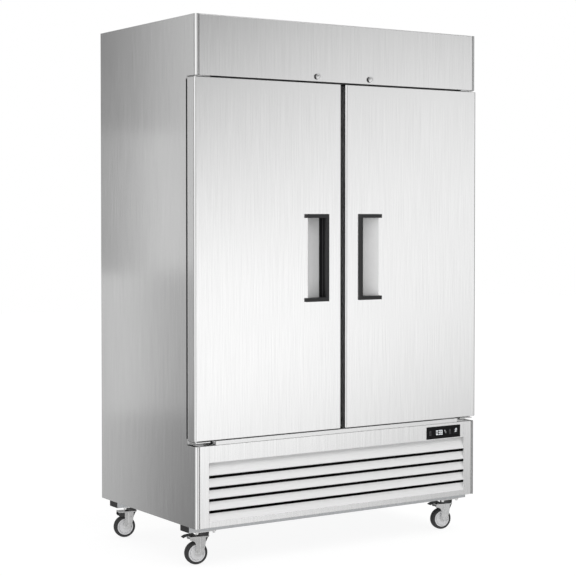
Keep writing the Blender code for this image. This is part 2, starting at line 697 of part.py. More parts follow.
def cooling_inside():
    """Evaporator housing under the ceiling, with its coil and two fans, and the lamp on the post."""
    side, front, low = COOLER_SIDE, COOLER_FRONT, COOLER_BOTTOM
    bm = bmesh.new()
    block(bm, (-side, front, low), (side, ROOM_BACK - FIT, ROOM_TOP - FIT))
    cover = solid("evaporator_cover", bm, ALUMINIUM)
    bm = bmesh.new()
    block(bm, (-side + 0.0015, front + 0.0015, low + 0.0015),
          (side - 0.0015, ROOM_BACK - 0.0018, ROOM_TOP + 0.01))
    cut(cover, bm)
    bm = bmesh.new()
    for hand in (-1, 1):
        rod(bm, (hand * FAN_X, front, FAN_Z), "Y", 0.078, 0.02, 24)
    cut(cover, bm)
    bm = bmesh.new()
    block(bm, (-side + 0.05, front + 0.12, low + 0.02), (side - 0.05, front + 0.24, ROOM_TOP - 0.02))
    solid("evaporator_coil", bm, ALUMINIUM)
    for name, hand in (("left", -1), ("right", 1)):
        fan("evaporator_fan_" + name, (hand * FAN_X, front + 0.016, FAN_Z), 0.072, 0.020, 0.022, 5)
    bm = bmesh.new()
    front = FRAME_FRONT + FRAME_DEPTH + FIT
    block(bm, (-0.014, front, OPENING_BOTTOM + 0.12), (0.014, front + 0.014, OPENING_TOP - 0.10))
    solid("interior_lamp", bm, WHITE)


def machine_compartment():
    """Compressor, condenser and its fan on the base deck."""
    deck = BODY_BOTTOM + 0.003 + FIT
    bm = bmesh.new()
    profile = [(0.000, 0.198), (0.045, 0.190), (0.074, 0.165), (0.082, 0.130), (0.088, 0.128), (0.088, 0.120),
               (0.082, 0.118), (0.080, 0.060), (0.060, 0.030), (0.000, 0.022)]
    turned(bm, profile, 20, False, "Z", (0.330, 0.120, deck))
    pot = solid("compressor", bm, BLACK, smooth=True)
    bm = bmesh.new()
    block(bm, (0.275, 0.065, deck + 0.002), (0.385, 0.175, deck + 0.040))
    join(pot, bm)
    bm = bmesh.new()
    block(bm, (0.230, 0.050, deck), (0.430, 0.190, deck + 0.004))
    join(pot, bm)
    centre = Vector((-0.180, -0.200, deck + 0.132))
    half = 0.125
    bm = bmesh.new()
    block(bm, (centre.x - 0.20, centre.y - 0.085, deck), (centre.x + 0.20, centre.y - 0.030, deck + 0.262))
    solid("condenser_coil", bm, ALUMINIUM)
    bm = bmesh.new()
    block(bm, (centre.x - 0.20, centre.y - 0.029, deck), (centre.x + 0.20, centre.y + 0.030, deck + 0.262))
    shroud = solid("condenser_shroud", bm, GALVANISED)
    bm = bmesh.new()
    block(bm, (centre.x - 0.198, centre.y - 0.04, deck + 0.002),
          (centre.x + 0.198, centre.y + 0.0285, deck + 0.260))
    cut(shroud, bm)
    bm = bmesh.new()
    rod(bm, (centre.x, centre.y + 0.03, centre.z), "Y", half - 0.010, 0.02, 24)
    cut(shroud, bm)
    bm = bmesh.new()
    rod(bm, (centre.x, centre.y + 0.075, centre.z), "Y", 0.038, 0.050, 16)
    join(shroud, bm)
    bm = bmesh.new()
    for turn in (45, 135):
        arm = [(-0.160, -0.005), (0.160, -0.005), (0.160, 0.005), (-0.160, 0.005)]
        rotation = Matrix.Rotation(radians(turn), 4, "Y")
        first = len(bm.verts)
        prism(bm, arm, "Y", 0.0272, 0.0330 + 0.02)
        bm.verts.ensure_lookup_table()
        place = Matrix.Translation(centre) @ rotation
        bmesh.ops.transform(bm, matrix=place, verts=bm.verts[first:])
        if turn == 45:
            join(shroud, bm)
            bm = bmesh.new()
    join(shroud, bm)
    fan("condenser_fan", (centre.x, centre.y + 0.004, centre.z), 0.105, 0.025, 0.030, 5)


# ---------------------------------------------------------------- casters

def caster(name, x, y, braked):
    """Plate with its raceway and king pin, fork, wheel and, at the front, a brake pedal.

    The fork's own space has the swivel axis at its origin and the wheel trailing along -X.
    """
    top = RAIL_BOTTOM - FIT
    race_bottom = 0.1112
    crown_top, crown_bottom = 0.1108, 0.1065
    bm = bmesh.new()
    block(bm, (x - 0.046, y - 0.032, top - 0.003), (x + 0.046, y + 0.032, top))
    plate = solid("caster_plate_" + name, bm, ZINC)
    bm = bmesh.new()
    profile = [(0.000, top - 0.002), (0.027, top - 0.002), (0.027, top - 0.006), (0.022, race_bottom + 0.003),
               (0.022, race_bottom), (0.006, race_bottom), (0.006, 0.1058), (0.011, 0.1058), (0.011, 0.1015),
               (0.000, 0.1015)]
    turned(bm, profile, 20, False, "Z", (x, y, 0))
    join(plate, bm)

    swivel = empty("swivel_axis_" + name, (x, y, 0), CASTER_TURN)
    inside = WHEEL_WIDTH / 2 + 0.003
    outside = inside + 0.0028
    crown = [(0.010, -outside), *arc((0, 0), 0.0262, -50, 50, 6), (0.010, outside), (-0.048, outside),
             (-0.048, -outside)]
    bm = bmesh.new()
    prism(bm, crown, "Z", crown_bottom, crown_top)
    fork = solid("caster_fork_" + name, bm, ZINC, parent=swivel)
    boss = (-TRAIL, WHEEL_RADIUS)
    leg = [(-0.048, crown_top - 0.001), (-0.046, 0.100), (-0.040, 0.094), (-0.0355, 0.086), (-0.0345, 0.060)]
    leg += arc(boss, 0.0085, 150, 340, 6)
    leg += [(-0.010, 0.064), (0.006, 0.090), (0.018, crown_top - 0.001)]
    for low, high in ((-outside, -inside), (inside, outside)):
        bm = bmesh.new()
        prism(bm, leg, "Y", low, high)
        join(fork, bm, swivel)
    bm = bmesh.new()
    rod(bm, (0, 0, crown_bottom), "Z", 0.0062 / cos(pi / 16), 0.02, 16)
    cut(fork, bm, swivel)
    bm = bmesh.new()
    rod(bm, (-TRAIL, 0, WHEEL_RADIUS), "Y", 0.0050, 2 * outside + 0.002, 16)
    join(fork, bm, swivel)
    bm = bmesh.new()
    for side in (-1, 1):
        rod(bm, (-TRAIL, side * (outside + 0.0018), WHEEL_RADIUS), "Y", 0.0072, 0.0042, 6)
    join(fork, bm, swivel)

    half = WHEEL_WIDTH / 2
    bore = (0.0050 + PIN_FIT) / cos(pi / 16)
    profile = [(bore, half + 0.0022), (0.0095, half + 0.0022), (0.0105, half - 0.004), (0.029, half - 0.006),
               (0.032, half - 0.001), (0.0365, half - 0.001), (0.0425, half), (WHEEL_RADIUS, half - 0.004)]
    profile += [(radius, -across) for radius, across in reversed(profile)]
    bm = bmesh.new()
    turned(bm, profile, 24, True, "Y", (-TRAIL, 0, WHEEL_RADIUS))
    solid("caster_wheel_" + name, bm, TYRE, pivot=(-TRAIL, 0, WHEEL_RADIUS), parent=swivel, smooth=True)
    if braked:
        pedal(name, swivel, fork, crown_top)


def pedal(name, swivel, fork, crown_top):
    """Brake pedal over the wheel, on a pin between two ears of the fork."""
    pin_x, pin_z = -0.0385, crown_top + 0.0048
    bm = bmesh.new()
    for side in (-1, 1):
        near, far = sorted((side * 0.0155, side * 0.0180))
        ear = [(pin_x - 0.005, crown_top - 0.001), (pin_x - 0.005, pin_z), (pin_x - 0.002, pin_z + 0.0045),
               (pin_x + 0.002, pin_z + 0.0045), (pin_x + 0.005, pin_z), (pin_x + 0.005, crown_top - 0.001)]
        prism(bm, ear, "Y", near, far)
    join(fork, bm, swivel)
    bm = bmesh.new()
    rod(bm, (pin_x, 0, pin_z), "Y", 0.0020, 0.034, 12)
    join(fork, bm, swivel)
    bm = bmesh.new()
    outline = [(pin_x + 0.0075, pin_z - 0.001), (pin_x + 0.005, pin_z + 0.0035),
               (pin_x - 0.006, pin_z + 0.0035), (-0.070, pin_z + 0.0010), (-0.0825, pin_z - 0.0050),
               (-0.0825, pin_z - 0.0080), (-0.069, pin_z - 0.0030), (pin_x - 0.012, pin_z - 0.0018),
               (pin_x - 0.003, pin_z - 0.0036), (pin_x + 0.003, pin_z - 0.0036)]
    prism(bm, outline, "Y", -0.0150, 0.0150)
    lever = solid("brake_pedal_" + name, bm, BLACK, pivot=(pin_x, 0, pin_z), parent=swivel)
    bm = bmesh.new()
    rod(bm, (pin_x, 0, pin_z), "Y", (0.0020 + PIN_FIT) / cos(pi / 12), 0.05, 12)
    cut(lever, bm, swivel)


# ---------------------------------------------------------------- assembly

clear_scene()
STEEL = material("stainless_steel", (0.78, 0.78, 0.78), 0.30, 1.0)
GALVANISED = material("galvanised_steel", (0.62, 0.63, 0.64), 0.45, 1.0)
ALUMINIUM = material("aluminium", (0.80, 0.81, 0.82), 0.35, 1.0)
CHROME = material("chrome", (0.85, 0.85, 0.85), 0.12, 1.0)
ZINC = material("zinc_plate", (0.75, 0.76, 0.77), 0.25, 1.0)
WIRE = material("coated_wire", (0.75, 0.76, 0.76), 0.35)
LINER = material("liner", (0.90, 0.90, 0.89), 0.45)
WHITE = material("lamp_white", (0.95, 0.95, 0.93), 0.30)
BLACK = material("black_plastic", (0.02, 0.02, 0.02), 0.35)
DARK_GREY = material("dark_grey_plastic", (0.05, 0.05, 0.055), 0.45)
RUBBER = material("gasket_rubber", (0.10, 0.10, 0.10), 0.60)
TYRE = material("tyre_rubber", (0.03, 0.03, 0.03), 0.55)

side_panels()
top_and_rear()
rear_cover()
header_panel()
insulated_body()
door_frame()
front_grille()
base()
cord_inlet()
for door_name, door_hand in (("left", -1), ("right", 1)):
    door(door_name, door_hand)
    hinges(door_name, door_hand)
    lock(door_name, door_hand)
    for level_name, height in SHELF_LEVELS.items():
        shelf("%s_%s" % (door_name, level_name), door_hand, height)
controls()
cooling_inside()
machine_compartment()
for end, rail_y, has_brake in (("front", FRONT_RAIL_Y, True), ("rear", REAR_RAIL_Y, False)):
    for corner, corner_hand in (("left", -1), ("right", 1)):
        caster("%s_%s" % (end, corner), corner_hand * CASTER_X, rail_y, has_brake)
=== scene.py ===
"""Looks of the two-door reach-in refrigerator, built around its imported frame.

Metres, +Z up, the floor at z = 0, the doors facing -Y.
"""

from math import atan2, cos, exp, pi, radians, sin

import bmesh
import bpy
from mathutils import Matrix, Vector


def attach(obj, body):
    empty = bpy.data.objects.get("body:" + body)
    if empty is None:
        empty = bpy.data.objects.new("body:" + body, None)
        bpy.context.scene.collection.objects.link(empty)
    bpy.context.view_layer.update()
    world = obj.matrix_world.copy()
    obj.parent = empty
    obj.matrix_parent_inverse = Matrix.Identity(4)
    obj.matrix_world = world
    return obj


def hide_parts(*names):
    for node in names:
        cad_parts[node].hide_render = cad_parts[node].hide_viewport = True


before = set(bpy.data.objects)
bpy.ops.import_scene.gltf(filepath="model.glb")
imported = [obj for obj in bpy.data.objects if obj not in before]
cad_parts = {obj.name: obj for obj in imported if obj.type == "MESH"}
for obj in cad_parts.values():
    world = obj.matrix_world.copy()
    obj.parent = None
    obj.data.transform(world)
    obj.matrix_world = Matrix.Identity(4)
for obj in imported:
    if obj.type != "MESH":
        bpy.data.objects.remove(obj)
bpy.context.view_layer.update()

# ---------------------------------------------------------------- sizes shared with the frame

SIDE = 0.691
FRONT = -0.4
BACK = 0.4
BODY_BOTTOM = 0.156
DECK_TOP = BODY_BOTTOM + 0.0033
BODY_TOP = 2.123
HEADER_BOTTOM = 1.89
LEDGE = 0.472
DOOR_BOTTOM = 0.493
DOOR_TOP = 1.884
DOOR_BACK = -0.344
SHELL_BACK = DOOR_BACK - 0.004
DOOR_INNER = 0.01
DOOR_OUTER = 0.6955
FRAME_FRONT = -0.3343
FOLD_BACK = FRAME_FRONT - 0.0015
CORNER = 0.012
FLANGE_END = 0.6765
FACE_EDGE = FLANGE_END - 0.0034
SHEET = 0.0012
FIT = 0.0003
HINGE_X = 0.6775
HINGE_Y = -0.378
CAM_Y = -0.377
LOCK_X = 0.13
LOCK_Z = 1.91
HANDLE_X = 0.076
HANDLE_WIDTH = 0.112
HANDLE_BOTTOM = 1.011
HANDLE_TOP = 1.362
HANDLE_PROUD = 0.01
CUP_DEPTH = 0.038
CUP_FLAT = 0.03
CUP_END = 0.1
CUP_STEPS = 24
STILE = 0.059
GRILLE_TOP = 0.406
GRILLE_BOTTOM = 0.1798
FIRST_SLAT = 0.3598
SLAT_PITCH = 0.045
FIRST_RISE = 0.045
SLAT_RISE = 0.029
BEZEL_X = (0.43, 0.611)
BEZEL_Z = (0.41, 0.462)
BEZEL_FACE = FRONT - 0.0026
BUTTON_X = {"left": 0.447, "right": 0.554}
SWITCH_X = 0.5855
CONTROL_Z = 0.436
ROOM_SIDE = 0.631
ROOM_BACK = 0.34
ROOM_BOTTOM = 0.53
SHELF_LEVELS = {"low": 0.84, "mid": 1.175, "high": 1.51}
PILASTER_Y = (-0.24, 0.25)
COOLER_FRONT = -0.02
COOLER_BOTTOM = 1.876
FAN_X = 0.3
FAN_Z = 1.968
RAIL_Y = (-0.309, 0.294)
RAIL_END = 0.689
HANDS = (("left", -1), ("right", 1))
CASTERS = {
    "front_left": (-0.61, -0.309), "front_right": (0.61, -0.309),
    "rear_left": (-0.61, 0.294), "rear_right": (0.61, 0.294),
}
CASTER_TURN = radians(-12)
TRAIL = 0.027
WHEEL_RADIUS = 0.045


# ---------------------------------------------------------------- material nodes

def start(name, colour, roughness, metallic=0.0):
    made = bpy.data.materials.new(name)
    made.use_nodes = True
    shader = made.node_tree.nodes["Principled BSDF"]
    shader.inputs["Base Color"].default_value = (*colour, 1)
    shader.inputs["Roughness"].default_value = roughness
    shader.inputs["Metallic"].default_value = metallic
    return made, made.node_tree, shader


def node(tree, kind, inputs=None, **settings):
    made = tree.nodes.new("ShaderNode" + kind)
    for key, value in settings.items():
        setattr(made, key, value)
    for key, value in (inputs or {}).items():
        if isinstance(value, bpy.types.NodeSocket):
            tree.links.new(value, made.inputs[key])
        else:
            made.inputs[key].default_value = value
    return made


def place(tree, scale=(1, 1, 1)):
    """Positions on the piece, in metres times a scale for each axis."""
    where = node(tree, "TexCoord").outputs["Object"]
    return node(tree, "Mapping", {"Vector": where, "Scale": scale}).outputs["Vector"]


def noise(tree, vector, scale, detail, rough):
    return node(tree, "TexNoise", {"Vector": vector, "Scale": scale, "Detail": detail,
                                   "Roughness": rough}).outputs["Fac"]


def spread(tree, value, low, high, from_low=0.3, from_high=0.7):
    """A 0 to 1 noise turned into a range."""
    return node(tree, "MapRange", {"Value": value, "From Min": from_low, "From Max": from_high,
                                   "To Min": low, "To Max": high}).outputs["Result"]


def total(tree, *values):
    result = values[0]
    for value in values[1:]:
        result = node(tree, "Math", {0: result, 1: value}, operation="ADD").outputs[0]
    return result


def grey(tree, value, tint):
    """A colour from one brightness and a fixed tint."""
    made = node(tree, "CombineColor")
    for socket, share in zip(("Red", "Green", "Blue"), tint):
        part = node(tree, "Math", {0: value, 1: share}, operation="MULTIPLY").outputs[0]
        tree.links.new(part, made.inputs[socket])
    return made.outputs["Color"]


def bump(tree, shader, height, strength, distance):
    made = node(tree, "Bump", {"Height": height, "Strength": strength, "Distance": distance})
    tree.links.new(made.outputs["Normal"], shader.inputs["Normal"])


def dress(tree, shader, tone, tint, rough):
    """Joins a varying tone with its tint, and a varying roughness, to the shader."""
    tree.links.new(grey(tree, tone, tint), shader.inputs["Base Color"])
    tree.links.new(rough, shader.inputs["Roughness"])


def brushed(name, tone, roughness, grain="Z", streak=0.05, tint=(1, 1, 1), anisotropic=0.55, metal=1.0):
    """Brushed sheet metal: long scratches along the grain, broad faint bands and handling smudges."""
    made, tree, shader = start(name, (tone,) * 3, roughness, metal)
    along = {"X": 0, "Y": 1, "Z": 2}[grain]
    fine_scale = [1.0, 1.0, 1.0]
    fine_scale[along] = 0.006
    band_scale = [1.0, 1.0, 1.0]
    band_scale[along] = 0.014
    fine = noise(tree, place(tree, fine_scale), 900.0, 4.0, 0.65)
    band = noise(tree, place(tree, band_scale), 230.0, 3.0, 0.6)
    smudge = noise(tree, place(tree), 4.0, 3.0, 0.5)
    value = total(tree, spread(tree, fine, tone - streak, tone + streak),
                  spread(tree, band, -streak * 0.4, streak * 0.4),
                  spread(tree, smudge, -0.008, 0.008))
    rough = total(tree, spread(tree, fine, roughness - 0.03, roughness + 0.03),
                  spread(tree, smudge, -0.008, 0.01))
    dress(tree, shader, value, tint, rough)
    shader.inputs["Anisotropic"].default_value = anisotropic
    bump(tree, shader, fine, 0.06, 0.0002)
    return made


def plated(name, tone, roughness, tint=(1, 1, 1)):
    """Bright zinc or chrome plating with faint clouding and scuffs."""
    made, tree, shader = start(name, (tone,) * 3, roughness, 1.0)
    cloud = noise(tree, place(tree), 60.0, 4.0, 0.6)
    scuff = noise(tree, place(tree, (1, 0.3, 1)), 700.0, 2.0, 0.5)
    value = total(tree, spread(tree, cloud, tone - 0.06, tone + 0.04), spread(tree, scuff, -0.02, 0.02))
    rough = total(tree, spread(tree, cloud, roughness - 0.04, roughness + 0.06),
                  spread(tree, scuff, -0.02, 0.03))
    dress(tree, shader, value, tint, rough)
    bump(tree, shader, total(tree, cloud, scuff), 0.05, 0.0003)
    return made


def galvanised(name, tone, roughness):
    """Galvanised sheet: flat zinc crystals that each shine a little differently."""
    made, tree, shader = start(name, (tone,) * 3, roughness, 1.0)
    warp = noise(tree, place(tree), 40.0, 2.0, 0.5)
    cells = node(tree, "TexVoronoi", {"Vector": place(tree), "Scale": 90.0, "Randomness": 1.0})
    crystal = node(tree, "SeparateColor", {"Color": cells.outputs["Color"]}).outputs["Red"]
    value = total(tree, spread(tree, crystal, tone - 0.07, tone + 0.07, 0, 1),
                  spread(tree, warp, -0.03, 0.03))
    rough = total(tree, spread(tree, crystal, roughness - 0.08, roughness + 0.08, 0, 1),
                  spread(tree, warp, -0.03, 0.03))
    dress(tree, shader, value, (0.98, 1.0, 1.02), rough)
    bump(tree, shader, warp, 0.08, 0.0006)
    return made


def moulded(name, colour, roughness, pebble=0.25, scale=1400.0, vary=0.15, shine=0.5):
    """Moulded plastic: a fine pebbled skin, uneven sheen and slight colour drift."""
    made, tree, shader = start(name, colour, roughness)
    skin = noise(tree, place(tree), scale, 3.0, 0.6)
    drift = noise(tree, place(tree), 18.0, 3.0, 0.5)
    tone = total(tree, spread(tree, drift, 1 - vary, 1 + vary), spread(tree, skin, -vary / 2, vary / 2))
    rough = total(tree, spread(tree, skin, roughness - 0.05, roughness + 0.05),
                  spread(tree, drift, -0.04, 0.05))
    dress(tree, shader, tone, colour, rough)
    shader.inputs["Specular IOR Level"].default_value = shine
    bump(tree, shader, skin, pebble, 0.0002)
    return made


def enamel(name, colour, roughness, peel=0.12, coat=0.0, shine=0.5):
    """Paint, enamel or smooth liner: orange peel and faint dust."""
    made, tree, shader = start(name, colour, roughness)
    peel_noise = noise(tree, place(tree), 260.0, 2.0, 0.4)
    dust = noise(tree, place(tree), 7.0, 4.0, 0.6)
    tone = spread(tree, dust, 0.965, 1.02)
    rough = total(tree, spread(tree, peel_noise, roughness - 0.03, roughness + 0.03),
                  spread(tree, dust, -0.03, 0.05))
    dress(tree, shader, tone, colour, rough)
    shader.inputs["Coat Weight"].default_value = coat
    shader.inputs["Specular IOR Level"].default_value = shine
    bump(tree, shader, peel_noise, peel, 0.0003)
    return made


def rubber(name, colour, roughness):
    """Rubber: dull, with a powdery bloom and small scuffs."""
    made, tree, shader = start(name, colour, roughness)
    bloom = noise(tree, place(tree), 55.0, 5.0, 0.65)
    pore = noise(tree, place(tree), 1500.0, 2.0, 0.5)
    tone = total(tree, spread(tree, bloom, 0.75, 1.45), spread(tree, pore, -0.08, 0.08))
    rough = total(tree, spread(tree, bloom, roughness - 0.08, roughness + 0.08),
                  spread(tree, pore, -0.02, 0.02))
    dress(tree, shader, tone, colour, rough)
    bump(tree, shader, total(tree, bloom, pore), 0.2, 0.0002)
    return made


def glowing(name, colour, strength):
    made, tree, shader = start(name, colour, 0.35)
    shader.inputs["Emission Color"].default_value = (*colour, 1)
    shader.inputs["Emission Strength"].default_value = strength
    grain = noise(tree, place(tree), 400.0, 2.0, 0.5)
    tree.links.new(grey(tree, spread(tree, grain, 0.92, 1.05), colour), shader.inputs["Base Color"])
    return made


STEEL = brushed("steel_vertical_grain", 0.74, 0.21, "Z", 0.07, (1, 1, 1), 0.35)
STEEL_ACROSS = brushed("steel_horizontal_grain", 0.74, 0.24, "X", 0.05, (1, 1, 1), 0.35)
STEEL_SATIN = brushed("steel_satin_slats", 0.95, 0.45, "X", 0.03, (1, 1, 1), 0.2, 0.3)
STEEL_DEEP = brushed("steel_lengthwise_grain", 0.72, 0.28, "Y")
LINER_METAL = brushed("liner_sheet", 0.8, 0.4, "Z", 0.02, (0.99, 1.0, 1.0), 0.2)
ZINC_SHEET = galvanised("galvanised_sheet", 0.6, 0.42)
ALUMINIUM = brushed("aluminium_sheet", 0.78, 0.38, "X", 0.03, (0.99, 1.0, 1.01), 0.3)
FIN = brushed("aluminium_fins", 0.7, 0.42, "Z", 0.06, (0.99, 1.0, 1.01), 0.2)
CHROME = plated("chrome", 0.82, 0.12)
ZINC = plated("zinc_plating", 0.76, 0.28)
COPPER = plated("copper_tube", 0.85, 0.28, (0.95, 0.56, 0.4))
WIRE = enamel("coated_wire", (0.74, 0.76, 0.76), 0.32, 0.1, 0.3)
LINER = enamel("pale_liner", (0.86, 0.87, 0.86), 0.42, 0.1)
LAMP = glowing("lamp_diffuser", (0.93, 0.95, 0.96), 0.35)
BLACK = moulded("black_plastic", (0.012, 0.012, 0.013), 0.42)
# Near-black foam of the intake filter, also painted shade behind the grille's gaps.
FILTER_FOAM_SHADE = moulded("filter_foam_painted_shade", (0.008, 0.008, 0.008), 0.92, 0.9, 420.0, 0.3, 0.15)
BLACK_SOFT = moulded("black_grip_plastic", (0.013, 0.013, 0.014), 0.42, 0.18, 1100.0)
SATIN = moulded("satin_recess_coating", (0.93, 0.93, 0.93), 0.42, 0.08, 900.0, 0.03)
BLACK_GLOSS = enamel("gloss_black_bezel", (0.006, 0.006, 0.0065), 0.2, 0.03, 0.0, 0.1)
ENAMEL_BLACK = enamel("black_enamel", (0.02, 0.02, 0.021), 0.25, 0.1, 0.5)
DARK_GREY = moulded("dark_grey_plastic", (0.055, 0.056, 0.06), 0.45, 0.15)
KEY_GREY = moulded("control_key_plastic", (0.01, 0.01, 0.011), 0.38, 0.1, 1400.0, 0.15, 0.12)
ICON_GREY = moulded("printed_icon_grey", (0.2, 0.2, 0.21), 0.5, 0.05)
ICON_LIGHT = moulded("printed_icon_light", (0.72, 0.73, 0.74), 0.5, 0.05)
DIGIT = glowing("display_segments", (0.8, 0.82, 0.84), 0.6)
DISPLAY = enamel("display_window", (0.007, 0.007, 0.008), 0.12, 0.02, 0.0, 0.08)
GASKET = rubber("gasket_rubber", (0.045, 0.045, 0.046), 0.55)
TYRE = rubber("tyre_rubber", (0.026, 0.026, 0.027), 0.58)
RIM = enamel("grey_wheel_centre", (0.82, 0.82, 0.83), 0.3, 0.12, 0.3)
FLOOR = enamel("studio_floor", (0.16, 0.16, 0.16), 0.85, 0.0)
for socket, value in (("Emission Color", (1, 1, 1, 1)), ("Emission Strength", 0.88)):
    FLOOR.node_tree.nodes["Principled BSDF"].inputs[socket].default_value = value


# ---------------------------------------------------------------- shapes

def block(bm, low, high):
    low, high = (Vector(ends) for ends in zip(*map(sorted, zip(low, high))))
    size = high - low
    spot = Matrix.Translation((low + high) / 2) @ Matrix.Diagonal((*size, 1))
    return bmesh.ops.create_cube(bm, size=1, matrix=spot)["verts"]


def axis_turn(axis):
    return {"X": Matrix.Rotation(pi / 2, 4, "Y"), "Y": Matrix.Rotation(pi / 2, 4, "X"), "Z": Matrix()}[axis]


def rod(bm, centre, axis, radius, length, sides=24):
    spot = Matrix.Translation(centre) @ axis_turn(axis)
    return bmesh.ops.create_cone(bm, cap_ends=True, segments=sides, radius1=radius, radius2=radius,
                                 depth=length, matrix=spot)["verts"]


def prism(bm, outline, axis, low, high):
    """An outline pushed along an axis: (y, z) along X, (x, z) along Y or (x, y) along Z."""
    order = {"X": (2, 0, 1), "Y": (0, 2, 1), "Z": (0, 1, 2)}[axis]
    low, high = sorted((low, high))
    corners = []
    for first, second in outline:
        values = (first, second, low)
        corners.append(bm.verts.new([values[i] for i in order]))
    face = bm.faces.new(corners)
    grown = bmesh.ops.extrude_face_region(bm, geom=[face])["geom"]
    moved = [v for v in grown if isinstance(v, bmesh.types.BMVert)]
    bmesh.ops.translate(bm, vec=Vector([(0, 0, high - low)[i] for i in order]), verts=moved)
    return corners + moved


def lathe(bm, profile, steps, closed, matrix=Matrix()):
    """A profile of (radius, height) points spun round Z, then placed; a closed one leaves a bore."""
    own = bmesh.new()
    points = [own.verts.new((radius, 0, height)) for radius, height in profile]
    edges = [own.edges.new(pair) for pair in zip(points, points[1:])]
    if closed:
        edges.append(own.edges.new((points[-1], points[0])))
    bmesh.ops.spin(own, geom=points + edges, axis=(0, 0, 1), cent=(0, 0, 0), dvec=(0, 0, 0),
                   angle=2 * pi, steps=steps, use_merge=True)
    bmesh.ops.remove_doubles(own, verts=list(own.verts), dist=1e-6)
    bmesh.ops.recalc_face_normals(own, faces=list(own.faces))
    own.transform(matrix)
    take(bm, own)


def shape(make, *values):
    """One shape in a new bmesh."""
    bm = bmesh.new()
    make(bm, *values)
    return bm


def boxes(*pairs):
    """Blocks in a new bmesh, from pairs of opposite corners."""
    bm = bmesh.new()
    for low, high in pairs:
        block(bm, low, high)
    return bm


def turned(spot, angle=pi / 2):
    """A place whose Z axis is turned about X: at a quarter turn it points to the front."""
    return Matrix.Translation(spot) @ Matrix.Rotation(angle, 4, "X")


def take(bm, other):
    """Adds another bmesh's shape to this one."""
    mesh = bpy.data.meshes.new("part")
    other.to_mesh(mesh)
    other.free()
    bm.from_mesh(mesh)
    bpy.data.meshes.remove(mesh)


def tube(bm, points, radius, sides=8, closed=False):
    """A round wire or pipe along a line of points."""
    points = [Vector(p) for p in points]
    count = len(points)
    rings = []
    normal = None
    for i, point in enumerate(points):
        before = points[i - 1] if (closed or i > 0) else point
        after = points[(i + 1) % count] if (closed or i < count - 1) else point
        ahead = (after - before).normalized()
        if normal is None:
            normal = ahead.orthogonal().normalized()
        normal = (normal - ahead * normal.dot(ahead)).normalized()
        other = ahead.cross(normal)
        rings.append([bm.verts.new(point + radius * (cos(2 * pi * k / sides) * normal
                                                     + sin(2 * pi * k / sides) * other))
                      for k in range(sides)])
    for i in range(count if closed else count - 1):
        first, second = rings[i], rings[(i + 1) % count]
        for k in range(sides):
            nxt = (k + 1) % sides
            bm.faces.new((first[k], first[nxt], second[nxt], second[k]))
    if not closed:
        bm.faces.new(list(reversed(rings[0])))
        bm.faces.new(rings[-1])


def ring_sweep(bm, corners, profile):
    """A closed profile carried round a loop of corners with mitred joints.

    The profile's first value goes outwards in the plane of the corners and its second along Y.
    """
    up = Vector((0, 1, 0))
    count = len(corners)
    rings = []
    for i in range(count):
        here, before, after = Vector(corners[i]), Vector(corners[i - 1]), Vector(corners[(i + 1) % count])
        first = (here - before).normalized().cross(up)
        second = (after - here).normalized().cross(up)
        mitre = (first + second) / (1 + first.dot(second))
        rings.append([bm.verts.new(here + mitre * a + up * b) for a, b in profile])
    for i in range(count):
        first, second = rings[i], rings[(i + 1) % count]
        for k in range(len(profile)):
            nxt = (k + 1) % len(profile)
            bm.faces.new((first[k], first[nxt], second[nxt], second[k]))


def arc(centre, radius, start_angle, end_angle, steps):
    turns = [radians(start_angle + (end_angle - start_angle) * i / steps) for i in range(steps + 1)]
    return [(centre[0] + radius * cos(t), centre[1] + radius * sin(t)) for t in turns]


def rounded(low, high, radius, steps=4):
    """A rectangle's outline with round corners."""
    (x0, y0), (x1, y1) = low, high
    points = arc((x1 - radius, y0 + radius), radius, -90, 0, steps)
    points += arc((x1 - radius, y1 - radius), radius, 0, 90, steps)
    points += arc((x0 + radius, y1 - radius), radius, 90, 180, steps)
    points += arc((x0 + radius, y0 + radius), radius, 180, 270, steps)
    return points


def softened(path, radius, steps=3):
    """An open path with each inner corner rounded."""
    points = [Vector(p) for p in path]
    made = [tuple(points[0])]
    for i in range(1, len(points) - 1):
        before, here, after = points[i - 1], points[i], points[i + 1]
        reach = min(radius, (before - here).length * 0.45, (after - here).length * 0.45)
        first = here + (before - here).normalized() * reach
        last = here + (after - here).normalized() * reach
        for k in range(steps + 1):
            t = k / steps
            made.append(tuple(first * (1 - t) ** 2 + here * 2 * t * (1 - t) + last * t ** 2))
    made.append(tuple(points[-1]))
    return made


def thickened(path, thickness):
    """A closed outline: the path and, to its left, the same path set off by a thickness."""
    points = [Vector(p) for p in path]
    side = []
    for i, here in enumerate(points):
        before = points[i - 1] if i else here
        after = points[i + 1] if i < len(points) - 1 else here
        first = (here - before).normalized() if i else (after - here).normalized()
        second = (after - here).normalized() if i < len(points) - 1 else first
        a, b = Vector((-first.y, first.x)), Vector((-second.y, second.x))
        side.append(here + (a + b) / (1 + a.dot(b)) * thickness)
    return [tuple(p) for p in points] + [tuple(p) for p in reversed(side)]


# ---------------------------------------------------------------- pieces

def placed(name, data):
    thing = bpy.data.objects.new(name, data)
    bpy.context.scene.collection.objects.link(thing)
    return thing


def raw(name, bm, outward=True):
    if outward:
        bmesh.ops.recalc_face_normals(bm, faces=list(bm.faces))
    mesh = bpy.data.meshes.new(name)
    bm.to_mesh(mesh)
    bm.free()
    return placed(name, mesh)


def settle(thing):
    """Replaces an object's mesh by what its modifiers make of it."""
    graph = bpy.context.evaluated_depsgraph_get()
    mesh = bpy.data.meshes.new_from_object(thing.evaluated_get(graph))
    old = thing.data
    thing.modifiers.clear()
    thing.data = mesh
    bpy.data.meshes.remove(old)


def boolean(thing, bm, operation="DIFFERENCE"):
    other = raw(thing.name + "_tool", bm)
    step = thing.modifiers.new("Tool", "BOOLEAN")
    step.operation = operation
    step.solver = "EXACT"
    step.object = other
    settle(thing)
    bpy.data.objects.remove(other)


